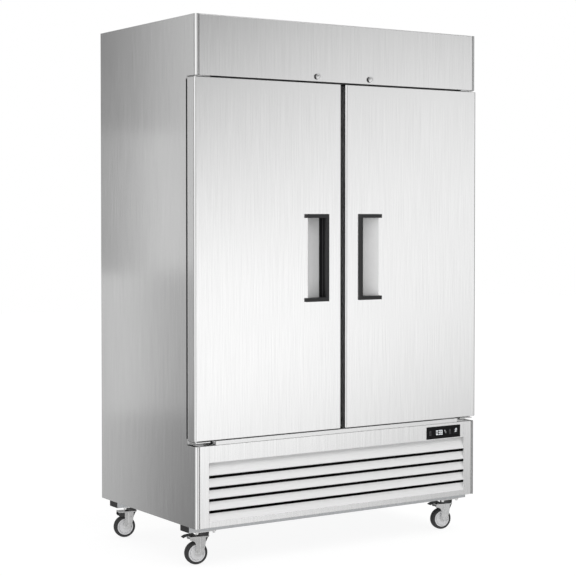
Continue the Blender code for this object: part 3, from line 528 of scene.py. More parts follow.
def rounded_edges(thing, width, segments=2, angle=35):
    step = thing.modifiers.new("Edges", "BEVEL")
    step.width = width
    step.segments = segments
    step.limit_method = "ANGLE"
    step.angle_limit = radians(angle)
    step.use_clamp_overlap = True
    settle(thing)


def finish_piece(thing, finish, body, replaces=(), angle=32):
    thing.data.materials.clear()
    thing.data.materials.append(finish)
    if angle:
        thing.data.shade_smooth()
        thing.data.set_sharp_from_angle(angle=radians(angle))
        flat = thing.modifiers.new("Flat faces", "WEIGHTED_NORMAL")
        flat.keep_sharp = True
        flat.weight = 80
        settle(thing)
    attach(thing, body)
    if replaces:
        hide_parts(*replaces)


def piece(name, bm, finish, body="cabinet", replaces=(), bevel=0.0, segments=1, angle=32):
    thing = raw(name, bm)
    if bevel:
        rounded_edges(thing, bevel, segments)
    finish_piece(thing, finish, body, replaces, angle)


def screw(bm, centre, axis, radius, height):
    """A pan-head screw with a cross recess, its head pointing along a unit axis."""
    turn = Vector((0, 0, 1)).rotation_difference(Vector(axis)).to_matrix().to_4x4()
    spot = Matrix.Translation(centre) @ turn
    profile = [(0.0, height * 0.55), (radius * 0.22, height * 0.55), (radius * 0.3, height),
               (radius * 0.7, height * 0.92), (radius * 0.93, height * 0.55), (radius, height * 0.12),
               (radius, 0.0), (0.0, 0.0)]
    lathe(bm, profile, 16, False, spot)
    own = bmesh.new()
    for turn_by in (0, pi / 2):
        added = block(own, (-radius * 0.5, -radius * 0.09, height * 0.9),
                (radius * 0.5, radius * 0.09, height * 1.04))
        bmesh.ops.transform(own, matrix=Matrix.Rotation(turn_by, 4, "Z"), verts=added)
    own.transform(spot)
    take(bm, own)


# ---------------------------------------------------------------- camera, floor and light

def camera():
    data = bpy.data.cameras.new("camera")
    data.sensor_width = 36.0
    data.lens = 95.45
    data.shift_y = -0.0604
    data.clip_end = 60.0
    thing = placed("camera", data)
    thing.location = (-3.59, -5.437, 1.361)
    thing.rotation_euler = (radians(90 - 1.462), 0, radians(-33.388))
    bpy.context.scene.camera = thing


def floor():
    bm = bmesh.new()
    bmesh.ops.create_grid(bm, x_segments=1, y_segments=1, size=14.0)
    thing = raw("studio_floor", bm)
    thing.data.materials.append(FLOOR)
    thing.location.z = -0.0005
    thing.visible_glossy = thing.visible_diffuse = thing.visible_shadow = False


# An even studio with soft brighter patches: azimuth from the doors' side towards +X, elevation,
# half width in degrees, strength.
AMBIENT = 0.38
GLOWS = ((0, 90, 56, 0.65), (33, 52, 32, 1.4), (0, -65, 45, 0.7), (26, -9, 13, 0.85),
         (34, 0, 13, 0.6), (42, 0, 13, 0.3), (50, 0, 14, 0.3), (-60, 0, 45, 0.9),
         (-14, 0, 30, 0.35), (23, 14, 14, -0.36), (214, -16, 12, -0.22), (202, 12, 12, -0.17),
         (84, 0, 34, -0.3))
# Softboxes behind the left side: a leaning band in a wall of columns and rows.
PANEL_AZIMUTH = 208.5
PANEL_SIZE = (0.3, 0.75)


def panel_power(column, row):
    return (0.27 + 0.05 * row) * exp(-((column - 2.58 - 0.69 * (row - 2.5)) / 0.71) ** 2)


def direction(azimuth, elevation):
    turn, lift = radians(azimuth), radians(elevation)
    return Vector((sin(turn) * cos(lift), -cos(turn) * cos(lift), sin(lift)))


def surroundings():
    """White to the camera, soft patches of light to everything else."""
    made = bpy.data.worlds.new("studio")
    made.use_nodes = True
    tree = made.node_tree
    tree.nodes.clear()
    where = node(tree, "TexCoord").outputs["Generated"]
    patches = [node(tree, "Value").outputs[0]]
    patches[0].default_value = AMBIENT
    for azimuth, elevation, width, strength in GLOWS:
        facing = node(tree, "VectorMath", {0: where, 1: direction(azimuth, elevation)},
                operation="DOT_PRODUCT")
        patch = node(tree, "MapRange", {"Value": facing.outputs["Value"], "From Min": cos(radians(width)),
                                        "From Max": 1.0, "To Min": 0.0, "To Max": strength},
                                        interpolation_type="SMOOTHSTEP")
        patches.append(patch.outputs["Result"])
    lamp = node(tree, "Background", {"Color": (1, 1, 1, 1), "Strength": total(tree, *patches)})
    seen = node(tree, "Background", {"Color": (1, 1, 1, 1), "Strength": 1.0})
    path = node(tree, "LightPath")
    mix = node(tree, "MixShader", {"Fac": path.outputs["Is Camera Ray"], 1: lamp.outputs[0],
            2: seen.outputs[0]})
    out = node(tree, "OutputWorld")
    tree.links.new(mix.outputs[0], out.inputs["Surface"])
    bpy.context.scene.world = made


def softboxes():
    towards = direction(PANEL_AZIMUTH, 0)
    across = direction(PANEL_AZIMUTH + 90, 0)
    for place_at in range(36):
        column, row = divmod(place_at, 6)
        power = panel_power(column, row)
        if power < 0.01:
            continue
        data = bpy.data.lights.new("softbox_%d_%d" % (column, row), "AREA")
        data.shape = "RECTANGLE"
        data.size, data.size_y = PANEL_SIZE
        data.energy = power
        thing = placed(data.name, data)
        thing.location = (Vector((-0.69, 0, 0)) + towards * 2.0 + across * ((column - 2.5) * PANEL_SIZE[0])
                          + Vector((0, 0, -1.2 + (row + 0.5) * PANEL_SIZE[1])))
        thing.rotation_euler = (-towards).to_track_quat("-Z", "Y").to_euler()
        thing.visible_camera = False


def light():
    bpy.context.scene.view_settings.view_transform = "Standard"
    surroundings()
    softboxes()


camera()
floor()
light()


# ---------------------------------------------------------------- cabinet sheets

def folded_sheet(name, path, levels, axis, keep=lambda i, j: True):
    """A folded sheet: a path crossed with levels along an axis, thickened inwards."""
    order = {"Z": (0, 1, 2), "X": (2, 0, 1)}[axis]
    bm = bmesh.new()
    grid = [[bm.verts.new([(a, b, level)[i] for i in order]) for level in levels] for a, b in path]
    for i in range(len(path) - 1):
        for j in range(len(levels) - 1):
            if keep(i, j):
                bm.faces.new((grid[i][j], grid[i + 1][j], grid[i + 1][j + 1], grid[i][j + 1]))
    bmesh.ops.delete(bm, geom=[v for v in bm.verts if not v.link_faces], context="VERTS")
    thing = raw(name, bm, False)
    skin = thing.modifiers.new("Sheet", "SOLIDIFY")
    skin.thickness = SHEET
    skin.offset = -1
    skin.use_even_offset = True
    settle(thing)
    return thing


def side_panels():
    levels = [BODY_BOTTOM, LEDGE, HEADER_BOTTOM, BODY_TOP]
    for name, hand in HANDS:
        bend = arc((SIDE - CORNER, FRONT + CORNER), CORNER, 0, -90, 14)
        path = [(SIDE, BACK), (SIDE, FOLD_BACK), *bend, (FLANGE_END, FRONT)]
        path = [(hand * x, y) for x, y in path]
        if hand > 0:
            path.reverse()
        flat = 0 if hand < 0 else len(path) - 2
        thing = folded_sheet("outer_side_" + name, path, levels, "Z",
                             lambda i, j, flat=flat: j != 1 or i == flat)
        finish_piece(thing, STEEL, "cabinet", ["side_panel_" + name])


def header():
    top = BODY_TOP - SHEET - FIT
    path = [(FRONT + 0.02, top), (FRONT, top), (FRONT, HEADER_BOTTOM),
            (FOLD_BACK, HEADER_BOTTOM)]
    path = softened(path, 0.0022, 5)
    thing = folded_sheet("header_face", path, [-FACE_EDGE, FACE_EDGE], "X")
    bm = bmesh.new()
    for hand in (-1, 1):
        centre = hand * LOCK_X
        rod(bm, (centre, FRONT, LOCK_Z), "Y", 0.0098, 0.02, 40)
        block(bm, (centre - 0.0295, CAM_Y - 0.003, HEADER_BOTTOM - 0.01),
              (centre + 0.006, CAM_Y + 0.003, HEADER_BOTTOM + 0.005))
    boolean(thing, bm)
    finish_piece(thing, STEEL, "cabinet", ["header_panel"])


def seams():
    """Dark sealant in the joints between the side panels and the front sheets."""
    middle = FLANGE_END - 0.0015
    for name, low, high in (("upper", HEADER_BOTTOM + 0.001, BODY_TOP - 0.003),
                            ("lower", BODY_BOTTOM + 0.001, LEDGE - 0.001)):
        bm = bmesh.new()
        for side in (-1, 1):
            block(bm, (side * middle - 0.0018, FRONT + 0.0005, low),
                    (side * middle + 0.0018, FRONT + 0.003, high))
        piece("seam_" + name, bm, GASKET, angle=0)


def header_gap_shade_strip():
    """Black strip under the header, behind the locks' cams and above the doors' top edges: painted shade
    that darkens the gap above the doors.
    """
    piece("header_gap_shade_strip", shape(block, (-0.6, CAM_Y + 0.007, DOOR_TOP + 0.0006),
            (0.6, -0.34, HEADER_BOTTOM - 0.0004)), GASKET, bevel=0.0005, segments=2)


def sill_strip():
    """Folded steel strip on the lower panel's ledge, below the doors."""
    piece("sill_strip", shape(block, (-0.6, FRONT + 0.003, LEDGE + 0.0002),
            (0.6, FRONT + 0.03, DOOR_BOTTOM - 0.004)),
            STEEL_ACROSS, bevel=0.0015, segments=3)


side_panels()
header()
seams()
header_gap_shade_strip()
sill_strip()


# ---------------------------------------------------------------- doors

def door_plan(hand, radius, steps):
    points = [(DOOR_OUTER, SHELL_BACK)]
    points += arc((DOOR_OUTER - radius, FRONT + radius), radius, 0, -90, steps)
    points += arc((DOOR_INNER + radius, FRONT + radius), radius, -90, -180, steps)
    points.append((DOOR_INNER, SHELL_BACK))
    return [(hand * x, y) for x, y in points]


def at_handle(hand, points):
    """Points across and into the handle recess, in the plan of the cabinet."""
    return [(hand * (HANDLE_X + u), FRONT + v) for u, v in points]


def door_loop(hand, inset, base):
    """The corners of a door, drawn in by an inset."""
    low, high = sorted((hand * (DOOR_INNER + inset), hand * (DOOR_OUTER - inset)))
    bottom, top = DOOR_BOTTOM + inset, DOOR_TOP - inset
    return [(low, base, bottom), (high, base, bottom), (high, base, top), (low, base, top)]


def cup_plan(hand):
    points = [(0, -0.02), (0, CUP_DEPTH), (CUP_FLAT, CUP_DEPTH)]
    run = CUP_END - CUP_FLAT
    for i in range(1, CUP_STEPS + 1):
        share = i / CUP_STEPS
        points.append((CUP_FLAT + run * share, CUP_DEPTH * cos(pi / 2 * share)))
    points.append((CUP_END + 0.008, -0.02))
    return at_handle(hand, points)


def hinge_and_cam_cuts(hand):
    bm = bmesh.new()
    x = hand * HINGE_X
    rod(bm, (x, HINGE_Y, DOOR_BOTTOM + 0.01), "Z", 0.0063, 0.036, 32)
    rod(bm, (x, HINGE_Y, DOOR_TOP - 0.01), "Z", 0.0063, 0.036, 32)
    centre = hand * LOCK_X
    block(bm, (centre - 0.024, CAM_Y - 0.004, DOOR_TOP - 0.012),
          (centre + 0.007, CAM_Y + 0.004, DOOR_TOP + 0.01))
    return bm


def door_shell(name, hand):
    bm = bmesh.new()
    prism(bm, door_plan(hand, 0.008, 12), "Z", DOOR_BOTTOM, DOOR_TOP)
    rims = [e for e in bm.edges
            if e.verts[0].co.z == e.verts[1].co.z and max(v.co.y for v in e.verts) < SHELL_BACK - 1e-5
            or (e.verts[0].co.z == e.verts[1].co.z
                and abs(e.verts[0].co.x - e.verts[1].co.x) < 1e-6)]
    bmesh.ops.bevel(bm, geom=rims, offset=0.0015, segments=3, profile=0.5, affect="EDGES")
    shell = raw("door_%s_shell" % name, bm)
    boolean(shell, shape(prism, cup_plan(hand), "Z", HANDLE_BOTTOM, HANDLE_TOP))
    boolean(shell, hinge_and_cam_cuts(hand))
    finish_piece(shell, STEEL, "door_" + name, ["door_%s_skin" % name], 30)


def recess_pan(name, hand):
    """Thin pale pan pressed into the handle recess."""
    low, skin = 0.0001, 0.0003
    run = CUP_END - CUP_FLAT
    path = [(low, 0.0006), (low, CUP_DEPTH - low), (CUP_FLAT, CUP_DEPTH - low)]
    for i in range(1, CUP_STEPS + 1):
        share = i / CUP_STEPS * 0.997
        path.append((CUP_FLAT + run * share - low, CUP_DEPTH * cos(pi / 2 * share) - low))
    bm = bmesh.new()
    prism(bm, at_handle(hand, thickened(path, -skin)), "Z", HANDLE_BOTTOM + 0.0001, HANDLE_TOP - 0.0001)
    for z in (HANDLE_BOTTOM + 0.0001, HANDLE_TOP - 0.0001 - skin / 2):
        prism(bm, at_handle(hand, path), "Z", z, z + skin / 2)
    piece("door_%s_recess" % name, bm, SATIN, "door_" + name, angle=30)


def door_liner(name, hand):
    """Inner pan of a door: a flat margin for the gasket round a raised, dished field."""
    front = SHELL_BACK + 0.0001
    low, high = sorted((hand * (DOOR_INNER + 0.0012), hand * (DOOR_OUTER - 0.0012)))
    pan = raw("door_%s_pan" % name, shape(block, (low, front, DOOR_BOTTOM + 0.0012),
            (high, DOOR_BACK, DOOR_TOP - 0.0012)))
    inner = sorted((hand * 0.058, hand * 0.622))
    bottom, top = 0.546, 1.831
    boolean(pan, shape(prism, rounded((inner[0], bottom), (inner[1], top), 0.012, 6), "Y",
            DOOR_BACK - 0.001, DOOR_BACK + 0.004), "UNION")
    boolean(pan, shape(prism, rounded((inner[0] + 0.03, bottom + 0.03), (inner[1] - 0.03, top - 0.03),
            0.02, 6), "Y", DOOR_BACK + 0.0012, DOOR_BACK + 0.02))
    boolean(pan, hinge_and_cam_cuts(hand))
    rounded_edges(pan, 0.0008, 2, 50)
    finish_piece(pan, LINER, "door_" + name, ["door_%s_core" % name], 30)


def door_gasket(name, hand):
    """Magnetic bellows gasket: a foot in the door's groove, a folded waist and a magnet bead."""
    outset, width = 0.015, 0.014
    middle = outset + width / 2
    base = DOOR_BACK + FIT
    reach = FRAME_FRONT - FIT - base
    half = width / 2
    profile = [(-half, 0), (-half, 0.0016), (-0.0042, 0.0024), (-0.0036, 0.0034), (-0.005, 0.0046),
               (-half, 0.0056), (-half, reach - 0.001), (-half + 0.001, reach), (half - 0.001, reach),
               (half, reach - 0.001), (half, 0.0056), (0.005, 0.0046), (0.0036, 0.0034),
               (0.0042, 0.0024), (half, 0.0016), (half, 0)]
    piece("door_%s_seal" % name, shape(ring_sweep, door_loop(hand, middle, base), profile),
            GASKET, "door_" + name, ["door_%s_gasket" % name])


def edge_strip(name, hand):
    """Black strip round the back of a door, outside its gasket, and black tape on the frame beside it."""
    profile = [(-0.004, 0), (-0.004, 0.0066), (-0.0032, 0.0072), (0.0032, 0.0072), (0.004, 0.0066),
            (0.004, 0)]
    piece("door_%s_edge_strip" % name, shape(ring_sweep, door_loop(hand, 0.009, DOOR_BACK + FIT), profile),
          GASKET, "door_" + name)
    piece("frame_%s_tape" % name, shape(block, (hand * 0.686, FRAME_FRONT - 0.0005, DOOR_BOTTOM + 0.004),
            (hand * 0.6948, FRAME_FRONT + 0.0004, DOOR_TOP - 0.004)), GASKET, bevel=0.0002)


def door_handle(name, hand):
    """Black C-shaped grip: a hooked bar with a ribbed finger side and an arm at each end."""
    wall, lip, gap, grip_width = 0.004, 0.004, 0.0005, 0.015
    floor_at = CUP_DEPTH - gap
    nose = [(gap, -HANDLE_PROUD + 0.003),
            *arc((gap + 0.003, -HANDLE_PROUD + 0.003), 0.003, 180, 270, 5)[1:]]
    hook = [*nose, *arc((grip_width - 0.003, -HANDLE_PROUD + 0.003), 0.003, 270, 360, 5),
            (grip_width, lip - 0.001), (grip_width - 0.0012, lip), (wall + 0.004, lip + 0.002),
            (wall + 0.0012, lip + 0.0045), (wall, lip + 0.008), (wall, floor_at - 0.004),
            (wall + 0.002, floor_at - 0.002), (0.019, floor_at - 0.002), (0.02, floor_at - 0.001),
            (0.02, floor_at), (gap, floor_at)]
    grip = raw("door_%s_handle" % name, shape(prism, at_handle(hand, hook), "Z", HANDLE_BOTTOM + 0.001,
            HANDLE_TOP - 0.001))
    run = CUP_END - CUP_FLAT
    arm = [*nose, *arc((HANDLE_WIDTH - 0.004, -HANDLE_PROUD + 0.004), 0.004, 270, 360, 5),
           (HANDLE_WIDTH, -gap), (CUP_END - 0.001, -gap)]
    for i in range(11, -1, -1):
        share = i / 12
        arm.append((CUP_FLAT + run * share - gap * 2 * share, CUP_DEPTH * cos(pi / 2 * share) - gap * 1.6))
    arm.append((gap, CUP_DEPTH - gap * 1.6))
    arm = at_handle(hand, arm)
    for low in (HANDLE_BOTTOM + FIT, HANDLE_TOP - FIT - 0.0155):
        boolean(grip, shape(prism, arm, "Z", low, low + 0.0155), "UNION")
    rounded_edges(grip, 0.0012, 3, 50)
    finish_piece(grip, BLACK_SOFT, "door_" + name, ["door_%s_grip" % name], 40)
    bm = bmesh.new()
    first, step = HANDLE_BOTTOM + 0.04, 0.018
    for i in range(16):
        low = first + i * step
        block(bm, (hand * (HANDLE_X + wall - 0.0003), FRONT + 0.014, low),
              (hand * (HANDLE_X + wall + 0.0007), FRONT + 0.033, low + 0.0016))
    piece("door_%s_handle_ribs" % name, bm, BLACK_SOFT, "door_" + name, bevel=0.0003)


for door_name, door_hand in HANDS:
    door_shell(door_name, door_hand)
    recess_pan(door_name, door_hand)
    edge_strip(door_name, door_hand)
    door_liner(door_name, door_hand)
    door_gasket(door_name, door_hand)
    door_handle(door_name, door_hand)


# ---------------------------------------------------------------- locks

def lock(name, hand):
    """Key lock: a domed ring in a black rose with a bright collar, a plug with a keyway, and a cam. The
    rose's black wall is painted shade for the dark crescent round the ring.
    """
    centre = Vector((hand * LOCK_X, FRONT, LOCK_Z))
    facing = turned(centre)
    bm = bmesh.new()
    profile = [(0.0066, 0.0072), (0.0069, 0.0078), (0.0076, 0.008), (0.0088, 0.0079), (0.0093, 0.0076),
               (0.0095, 0.0068), (0.0095, -0.024), (0.0066, -0.024)]
    lathe(bm, profile, 48, True, facing)
    piece("lock_%s_ring" % name, bm, CHROME, "lock_" + name, ["lock_" + name])
    # Black rose: painted shade, a dark wall where the ring's recess would be in shadow.
    piece("lock_%s_rose" % name, shape(lathe, [(0.0098, 0.0002), (0.0098, 0.007), (0.0114, 0.007),
            (0.0117, 0.0066), (0.0119, 0.0002)], 48, True, facing), BLACK)
    piece("lock_%s_collar" % name, shape(lathe, [(0.0097, 0.0069), (0.0098, 0.0077), (0.0112, 0.0076),
            (0.0115, 0.0069)], 48, True, facing), CHROME)
    plug = raw("lock_%s_plug" % name, shape(lathe, [(0.0, 0.0075), (0.0056, 0.0075), (0.0062, 0.0072),
            (0.0064, 0.0064), (0.0064, -0.024), (0.0, -0.024)], 40, False, facing))
    boolean(plug, shape(block, (centre.x - 0.0008, FRONT - 0.01, LOCK_Z - 0.004),
            (centre.x + 0.0008, FRONT + 0.004, LOCK_Z + 0.004)))
    finish_piece(plug, CHROME, "lock_" + name, ())
    bm = bmesh.new()
    outline = rounded((centre.x - 0.0335, LOCK_Z - 0.004), (centre.x + 0.006, LOCK_Z + 0.004), 0.0039, 6)
    prism(bm, outline, "Y", CAM_Y - 0.00125, CAM_Y + 0.00125)
    piece("lock_%s_cam" % name, bm, ZINC, "lock_" + name, bevel=0.0003)


for lock_name, lock_hand in HANDS:
    lock(lock_name, lock_hand)


# ---------------------------------------------------------------- lower front panel

def slat_outline(low, rise):
    """Side view of one slat: a rolled nose and a blade that leans back."""
    path = [(FRONT + 0.0022, low - 0.0024), (FRONT + 0.0002, low - 0.0012), (FRONT + 0.0004, low + 0.0006),
            (FRONT + 0.0004 + 0.45 * rise, low + rise)]
    path = softened(path, 0.0012, 3)
    back = [(y + 0.0014, z - 0.0007) for y, z in path]
    return path + list(reversed(back))


def grille():
    edge = FACE_EDGE
    hole = SIDE - STILE
    rear = FRONT + 0.04
    panel = raw("grille_panel", shape(block, (-edge, FRONT, BODY_BOTTOM + 0.0005), (edge, rear, LEDGE)))
    boolean(panel, shape(prism, rounded((-hole, GRILLE_BOTTOM - 0.001), (hole, GRILLE_TOP), 0.0015, 3), "Y",
            FRONT - 0.01, rear + 0.01))
    rounded_edges(panel, 0.0011, 3, 60)
    inner = edge - 0.0016
    past = hole + 0.003
    behind, far = FRONT + 0.0016, rear + 0.01
    below, above = BODY_BOTTOM - 0.01, LEDGE - 0.0016
    for low, high in (((-inner, behind, below), (-hole - 0.0016, far, above)),
                      ((hole + 0.0016, behind, below), (inner, far, above)),
                      ((-past, behind, GRILLE_TOP + 0.0016), (past, far, above)),
                      ((-past, behind, below), (past, far, GRILLE_BOTTOM - 0.0026)),
                      ((BEZEL_X[0] + 0.004, FRONT - 0.01, BEZEL_Z[0] + 0.004),
                       (BEZEL_X[1] - 0.004, FRONT + 0.01, BEZEL_Z[1] - 0.004))):
        boolean(panel, boxes((low, high)))
    bm = boxes(((-edge, rear - 0.002, LEDGE - SHEET), (edge, FOLD_BACK, LEDGE)))
    boolean(panel, bm, "UNION")
    for low, high in ((GRILLE_TOP + 0.003, LEDGE - 0.004), (BODY_BOTTOM + 0.002, GRILLE_BOTTOM - 0.004)):
        boolean(panel, boxes(*[((side * (hole + 0.0002) - 0.0005, FRONT - 0.01, low),
                                (side * (hole + 0.0002) + 0.0005, FRONT + 0.0009, high))
                               for side in (-1, 1)]))
    finish_piece(panel, STEEL, "cabinet", ["front_grille"], 30)
    bm = bmesh.new()
    for i in range(5):
        outline = slat_outline(FIRST_SLAT - i * SLAT_PITCH, SLAT_RISE if i else FIRST_RISE)
        prism(bm, outline, "X", -hole + 0.0002, hole - 0.0002)
    piece("grille_slats", bm, STEEL_SATIN, angle=40)
    # A near-black foam filter behind the slats: a real part and painted shade, as it makes the gaps between
    # the slats black where the shaded inside would show.
    piece("intake_filter_painted_shade", shape(block, (-hole + 0.0004, FRONT + 0.033, GRILLE_BOTTOM + 0.0008),
            (hole - 0.0004, FRONT + 0.0385, GRILLE_TOP - 0.0006)),
            FILTER_FOAM_SHADE, bevel=0.0008, segments=2)


grille()


# ---------------------------------------------------------------- control panel

SEGMENTS = {"0": "abcdef", "3": "abgcd", "8": "abcdefg"}
GLASS = BEZEL_FACE + 0.00025


def digit(bm, sign, x, z, width, height, stroke, y):
    """One seven-segment sign whose lower left corner is at x, z."""
    half = height / 2
    bars = {"a": (0, height - stroke, width, height), "b": (width - stroke, half, width, height),
            "c": (width - stroke, 0, width, half), "d": (0, 0, width, stroke), "e": (0, 0, stroke, half),
            "f": (0, half, stroke, height), "g": (0, half - stroke / 2, width, half + stroke / 2)}
    trim = stroke * 0.12
    for key in SEGMENTS[sign]:
        x0, z0, x1, z1 = bars[key]
        block(bm, (x + x0 + trim, y - 0.00006, z + z0 + trim), (x + x1 - trim, y + 0.0001, z + z1 - trim))


def outline_frame(bm, low, high, width, y):
    """A thin printed rectangle."""
    (x0, z0), (x1, z1) = low, high
    for a, b in (((x0, z0), (x1, z0 + width)), ((x0, z1 - width), (x1, z1)),
                 ((x0, z0 + width), (x0 + width, z1 - width)),
                 ((x1 - width, z0 + width), (x1, z1 - width))):
        block(bm, (a[0], y - 0.00008, a[1]), (b[0], y + 0.0001, b[1]))


def controls():
    face = BEZEL_FACE
    bezel = raw("control_surround", shape(prism, rounded((BEZEL_X[0], BEZEL_Z[0]), (BEZEL_X[1], BEZEL_Z[1]),
            0.0022, 5), "Y", face, FRONT - FIT))
    rounded_edges(bezel, 0.0008, 3, 60)
    boolean(bezel, shape(block, (BEZEL_X[0] + 0.0045, FRONT - 0.001, BEZEL_Z[0] + 0.0045),
            (BEZEL_X[1] - 0.0045, FRONT + 0.016, BEZEL_Z[1] - 0.0045)), "UNION")
    bm = bmesh.new()
    for x in BUTTON_X.values():
        prism(bm, rounded((x - 0.0068, CONTROL_Z - 0.0118), (x + 0.0068, CONTROL_Z + 0.0118), 0.0016, 4),
              "Y", face - 0.01, FRONT + 0.004)
    boolean(bezel, bm)
    boolean(bezel, shape(prism, rounded((SWITCH_X - 0.0148, CONTROL_Z - 0.0158),
            (SWITCH_X + 0.0148, CONTROL_Z + 0.0158), 0.0015, 4), "Y", face - 0.01, FRONT + 0.01))
    boolean(bezel, shape(block, (0.4585, face - 0.01, CONTROL_Z - 0.015),
            (0.5425, face + 0.0006, CONTROL_Z + 0.015)))
    finish_piece(bezel, BLACK_GLOSS, "cabinet", ["control_bezel"], 35)

    piece("control_display", shape(block, (0.4588, GLASS, CONTROL_Z - 0.0147),
            (0.5422, face + 0.0007, CONTROL_Z + 0.0147)), DISPLAY, bevel=0.0001)
    bm = bmesh.new()
    for i, sign in enumerate("038"):
        digit(bm, sign, 0.479 + 0.0125 * i, CONTROL_Z - 0.01, 0.0098, 0.02, 0.0026, GLASS)
    piece("control_digits", bm, DIGIT, angle=0)


controls()


def ring_shape(bm, centre, radius, tube_radius, steps, sides):
    """A wire ring round an axis along Y."""
    turn = axis_turn("Y")
    points = [Matrix.Translation(centre) @ turn @ Vector((radius * cos(2 * pi * i / steps),
                                                          radius * sin(2 * pi * i / steps), 0))
              for i in range(steps)]
    tube(bm, points, tube_radius, sides, True)


def keys():
    face = BEZEL_FACE
    for name, x in BUTTON_X.items():
        low, high = (x - 0.0065, CONTROL_Z - 0.0115), (x + 0.0065, CONTROL_Z + 0.0115)
        piece("control_key_" + name, shape(prism, rounded(low, high, 0.0014, 4), "Y", face - 0.0008,
                FRONT + 0.0015), KEY_GREY, "button_" + name,
                ["control_button_" + name], bevel=0.0004, segments=2)
        bm = bmesh.new()
        outline_frame(bm, (x - 0.004, CONTROL_Z - 0.0085), (x + 0.004, CONTROL_Z + 0.0085), 0.0007,
                face - 0.0008)
        block(bm, (x - 0.0022, face - 0.00088, CONTROL_Z + 0.003),
                (x + 0.0022, face - 0.0007, CONTROL_Z + 0.0037))
        if name == "right":
            block(bm, (x - 0.00035, face - 0.00088, CONTROL_Z + 0.0012),
                  (x + 0.00035, face - 0.0007, CONTROL_Z + 0.0055))
        piece("control_key_print_" + name, bm, ICON_GREY, "button_" + name, angle=0)
    bm = bmesh.new()
    ring_shape(bm, (0.5265, GLASS, CONTROL_Z + 0.006), 0.0022, 0.00035, 24, 6)
    for tilt in (-1, 1):
        tube(bm, [(0.529, GLASS, CONTROL_Z - 0.001),
                  (0.529 + 0.0045, GLASS, CONTROL_Z - 0.001 + tilt * 0.0045)], 0.00045, 6)
    piece("control_marks", bm, DIGIT, angle=0)

    bm = bmesh.new()
    wedge = [(face - 0.003, CONTROL_Z + 0.0145), (face + 0.0006, CONTROL_Z),
             (face - 0.0004, CONTROL_Z - 0.0145), (FRONT + 0.003, CONTROL_Z - 0.013),
             (FRONT + 0.003, CONTROL_Z + 0.013)]
    prism(bm, softened(wedge[:3], 0.004, 6) + wedge[3:], "X", SWITCH_X - 0.0142, SWITCH_X + 0.0142)
    piece("rocker", bm, KEY_GREY, "power_switch", ["power_switch"], bevel=0.0006,
            segments=3)
    slope = atan2(0.0036, 0.0145)
    bm = bmesh.new()
    ring_shape(bm, (0, 0, 0.0006), 0.0044, 0.0009, 28, 6)
    block(bm, (-0.0008, -0.0006, 0.0012), (0.0008, 0.0002, 0.0078))
    block(bm, (-0.0052, -0.0006, -0.0088), (0.0052, 0.0002, -0.007))
    bm.transform(turned((SWITCH_X, face - 0.00135, CONTROL_Z + 0.0056), slope))
    piece("rocker_print", bm, DIGIT, "power_switch", angle=0)


keys()


# ---------------------------------------------------------------- general cabinet pieces

def refined(name, source, finish, bevel=0.0006, segments=2):
    """The frame's own shape of one node with its edges rounded."""
    bm = bmesh.new()
    bm.from_mesh(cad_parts[source].data)
    bmesh.ops.remove_doubles(bm, verts=list(bm.verts), dist=1e-6)
    bmesh.ops.dissolve_limit(bm, angle_limit=radians(1), verts=list(bm.verts), edges=list(bm.edges))
    thing = raw(name, bm)
    if bevel:
        rounded_edges(thing, bevel, segments, 40)
    finish_piece(thing, finish, "cabinet", [source])


def screws(name, spots, axis, radius, height=0.0016):
    bm = bmesh.new()
    for spot in spots:
        screw(bm, spot, axis, radius, height)
    piece(name, bm, ZINC, angle=40)


def hinges():
    for name, hand in HANDS:
        for end in ("top", "bottom"):
            source = "hinge_%s_%s" % (end, name)
            refined(source + "_bracket", source, STEEL_ACROSS)
        low = DOOR_BOTTOM - 0.006
        screws("hinge_bottom_screws_" + name, [(hand * x, -0.356, low) for x in (0.632, 0.652)], (0, 0, 1),
               0.0034, 0.0014)


def rail_end_blocks():
    """Black blocks over the rail ends, which make the ends dark."""
    bm = bmesh.new()
    for y in RAIL_Y:
        for side in (-1, 1):
            block(bm, (side * (RAIL_END - 0.004), y - 0.0335, BODY_BOTTOM - 0.0235),
                  (side * (RAIL_END + 0.001), y + 0.0335, BODY_BOTTOM - 0.0008))
    piece("rail_end_blocks", bm, BLACK, bevel=0.0008, segments=2)


def frame_and_covers():
    steel, zinc = "stainless_steel", "galvanised_steel"
    for name, source, finish, slot, bevel, segments in (
            ("door_surround", "door_frame", STEEL_ACROSS, steel, 0.0012, 3),
            ("roof_sheet", "top_panel", STEEL_DEEP, steel, 0.0004, 2),
            ("rear_sheet", "rear_panel", ZINC_SHEET, zinc, 0.0003, 1),
            ("machine_cover", "rear_cover", ZINC_SHEET, zinc, 0.0004, 2),
            ("machine_deck", "base_deck", ZINC_SHEET, zinc, 0.0005, 2),
            ("rail_front", "base_rail_front", ZINC_SHEET, zinc, 0.0012, 3),
            ("rail_rear", "base_rail_rear", ZINC_SHEET, zinc, 0.0012, 3)):
        refined(name, source, finish, bevel, segments)


hinges()
rail_end_blocks()
frame_and_covers()


def gland():
    """Ribbed strain-relief gland; its bore is empty."""
    profile = [(0.006, -0.012), (0.0118, -0.012), (0.0118, -0.0003), (0.0164, -0.0003), (0.0164, 0.002),
               (0.015, 0.0032), (0.0118, 0.0036)]
    for i in range(3):
        at = 0.0042 + 0.0018 * i
        profile += [(0.0112, at), (0.0112, at + 0.0008), (0.01, at + 0.001), (0.01, at + 0.0016)]
    profile += [(0.0085, 0.0099), (0.006, 0.0099)]
    piece("gland", shape(lathe, profile, 40, True, turned((0.55, BACK, BODY_BOTTOM + 0.094), -pi / 2)),
            BLACK, replaces=["cord_inlet"])


gland()


# ---------------------------------------------------------------- inside

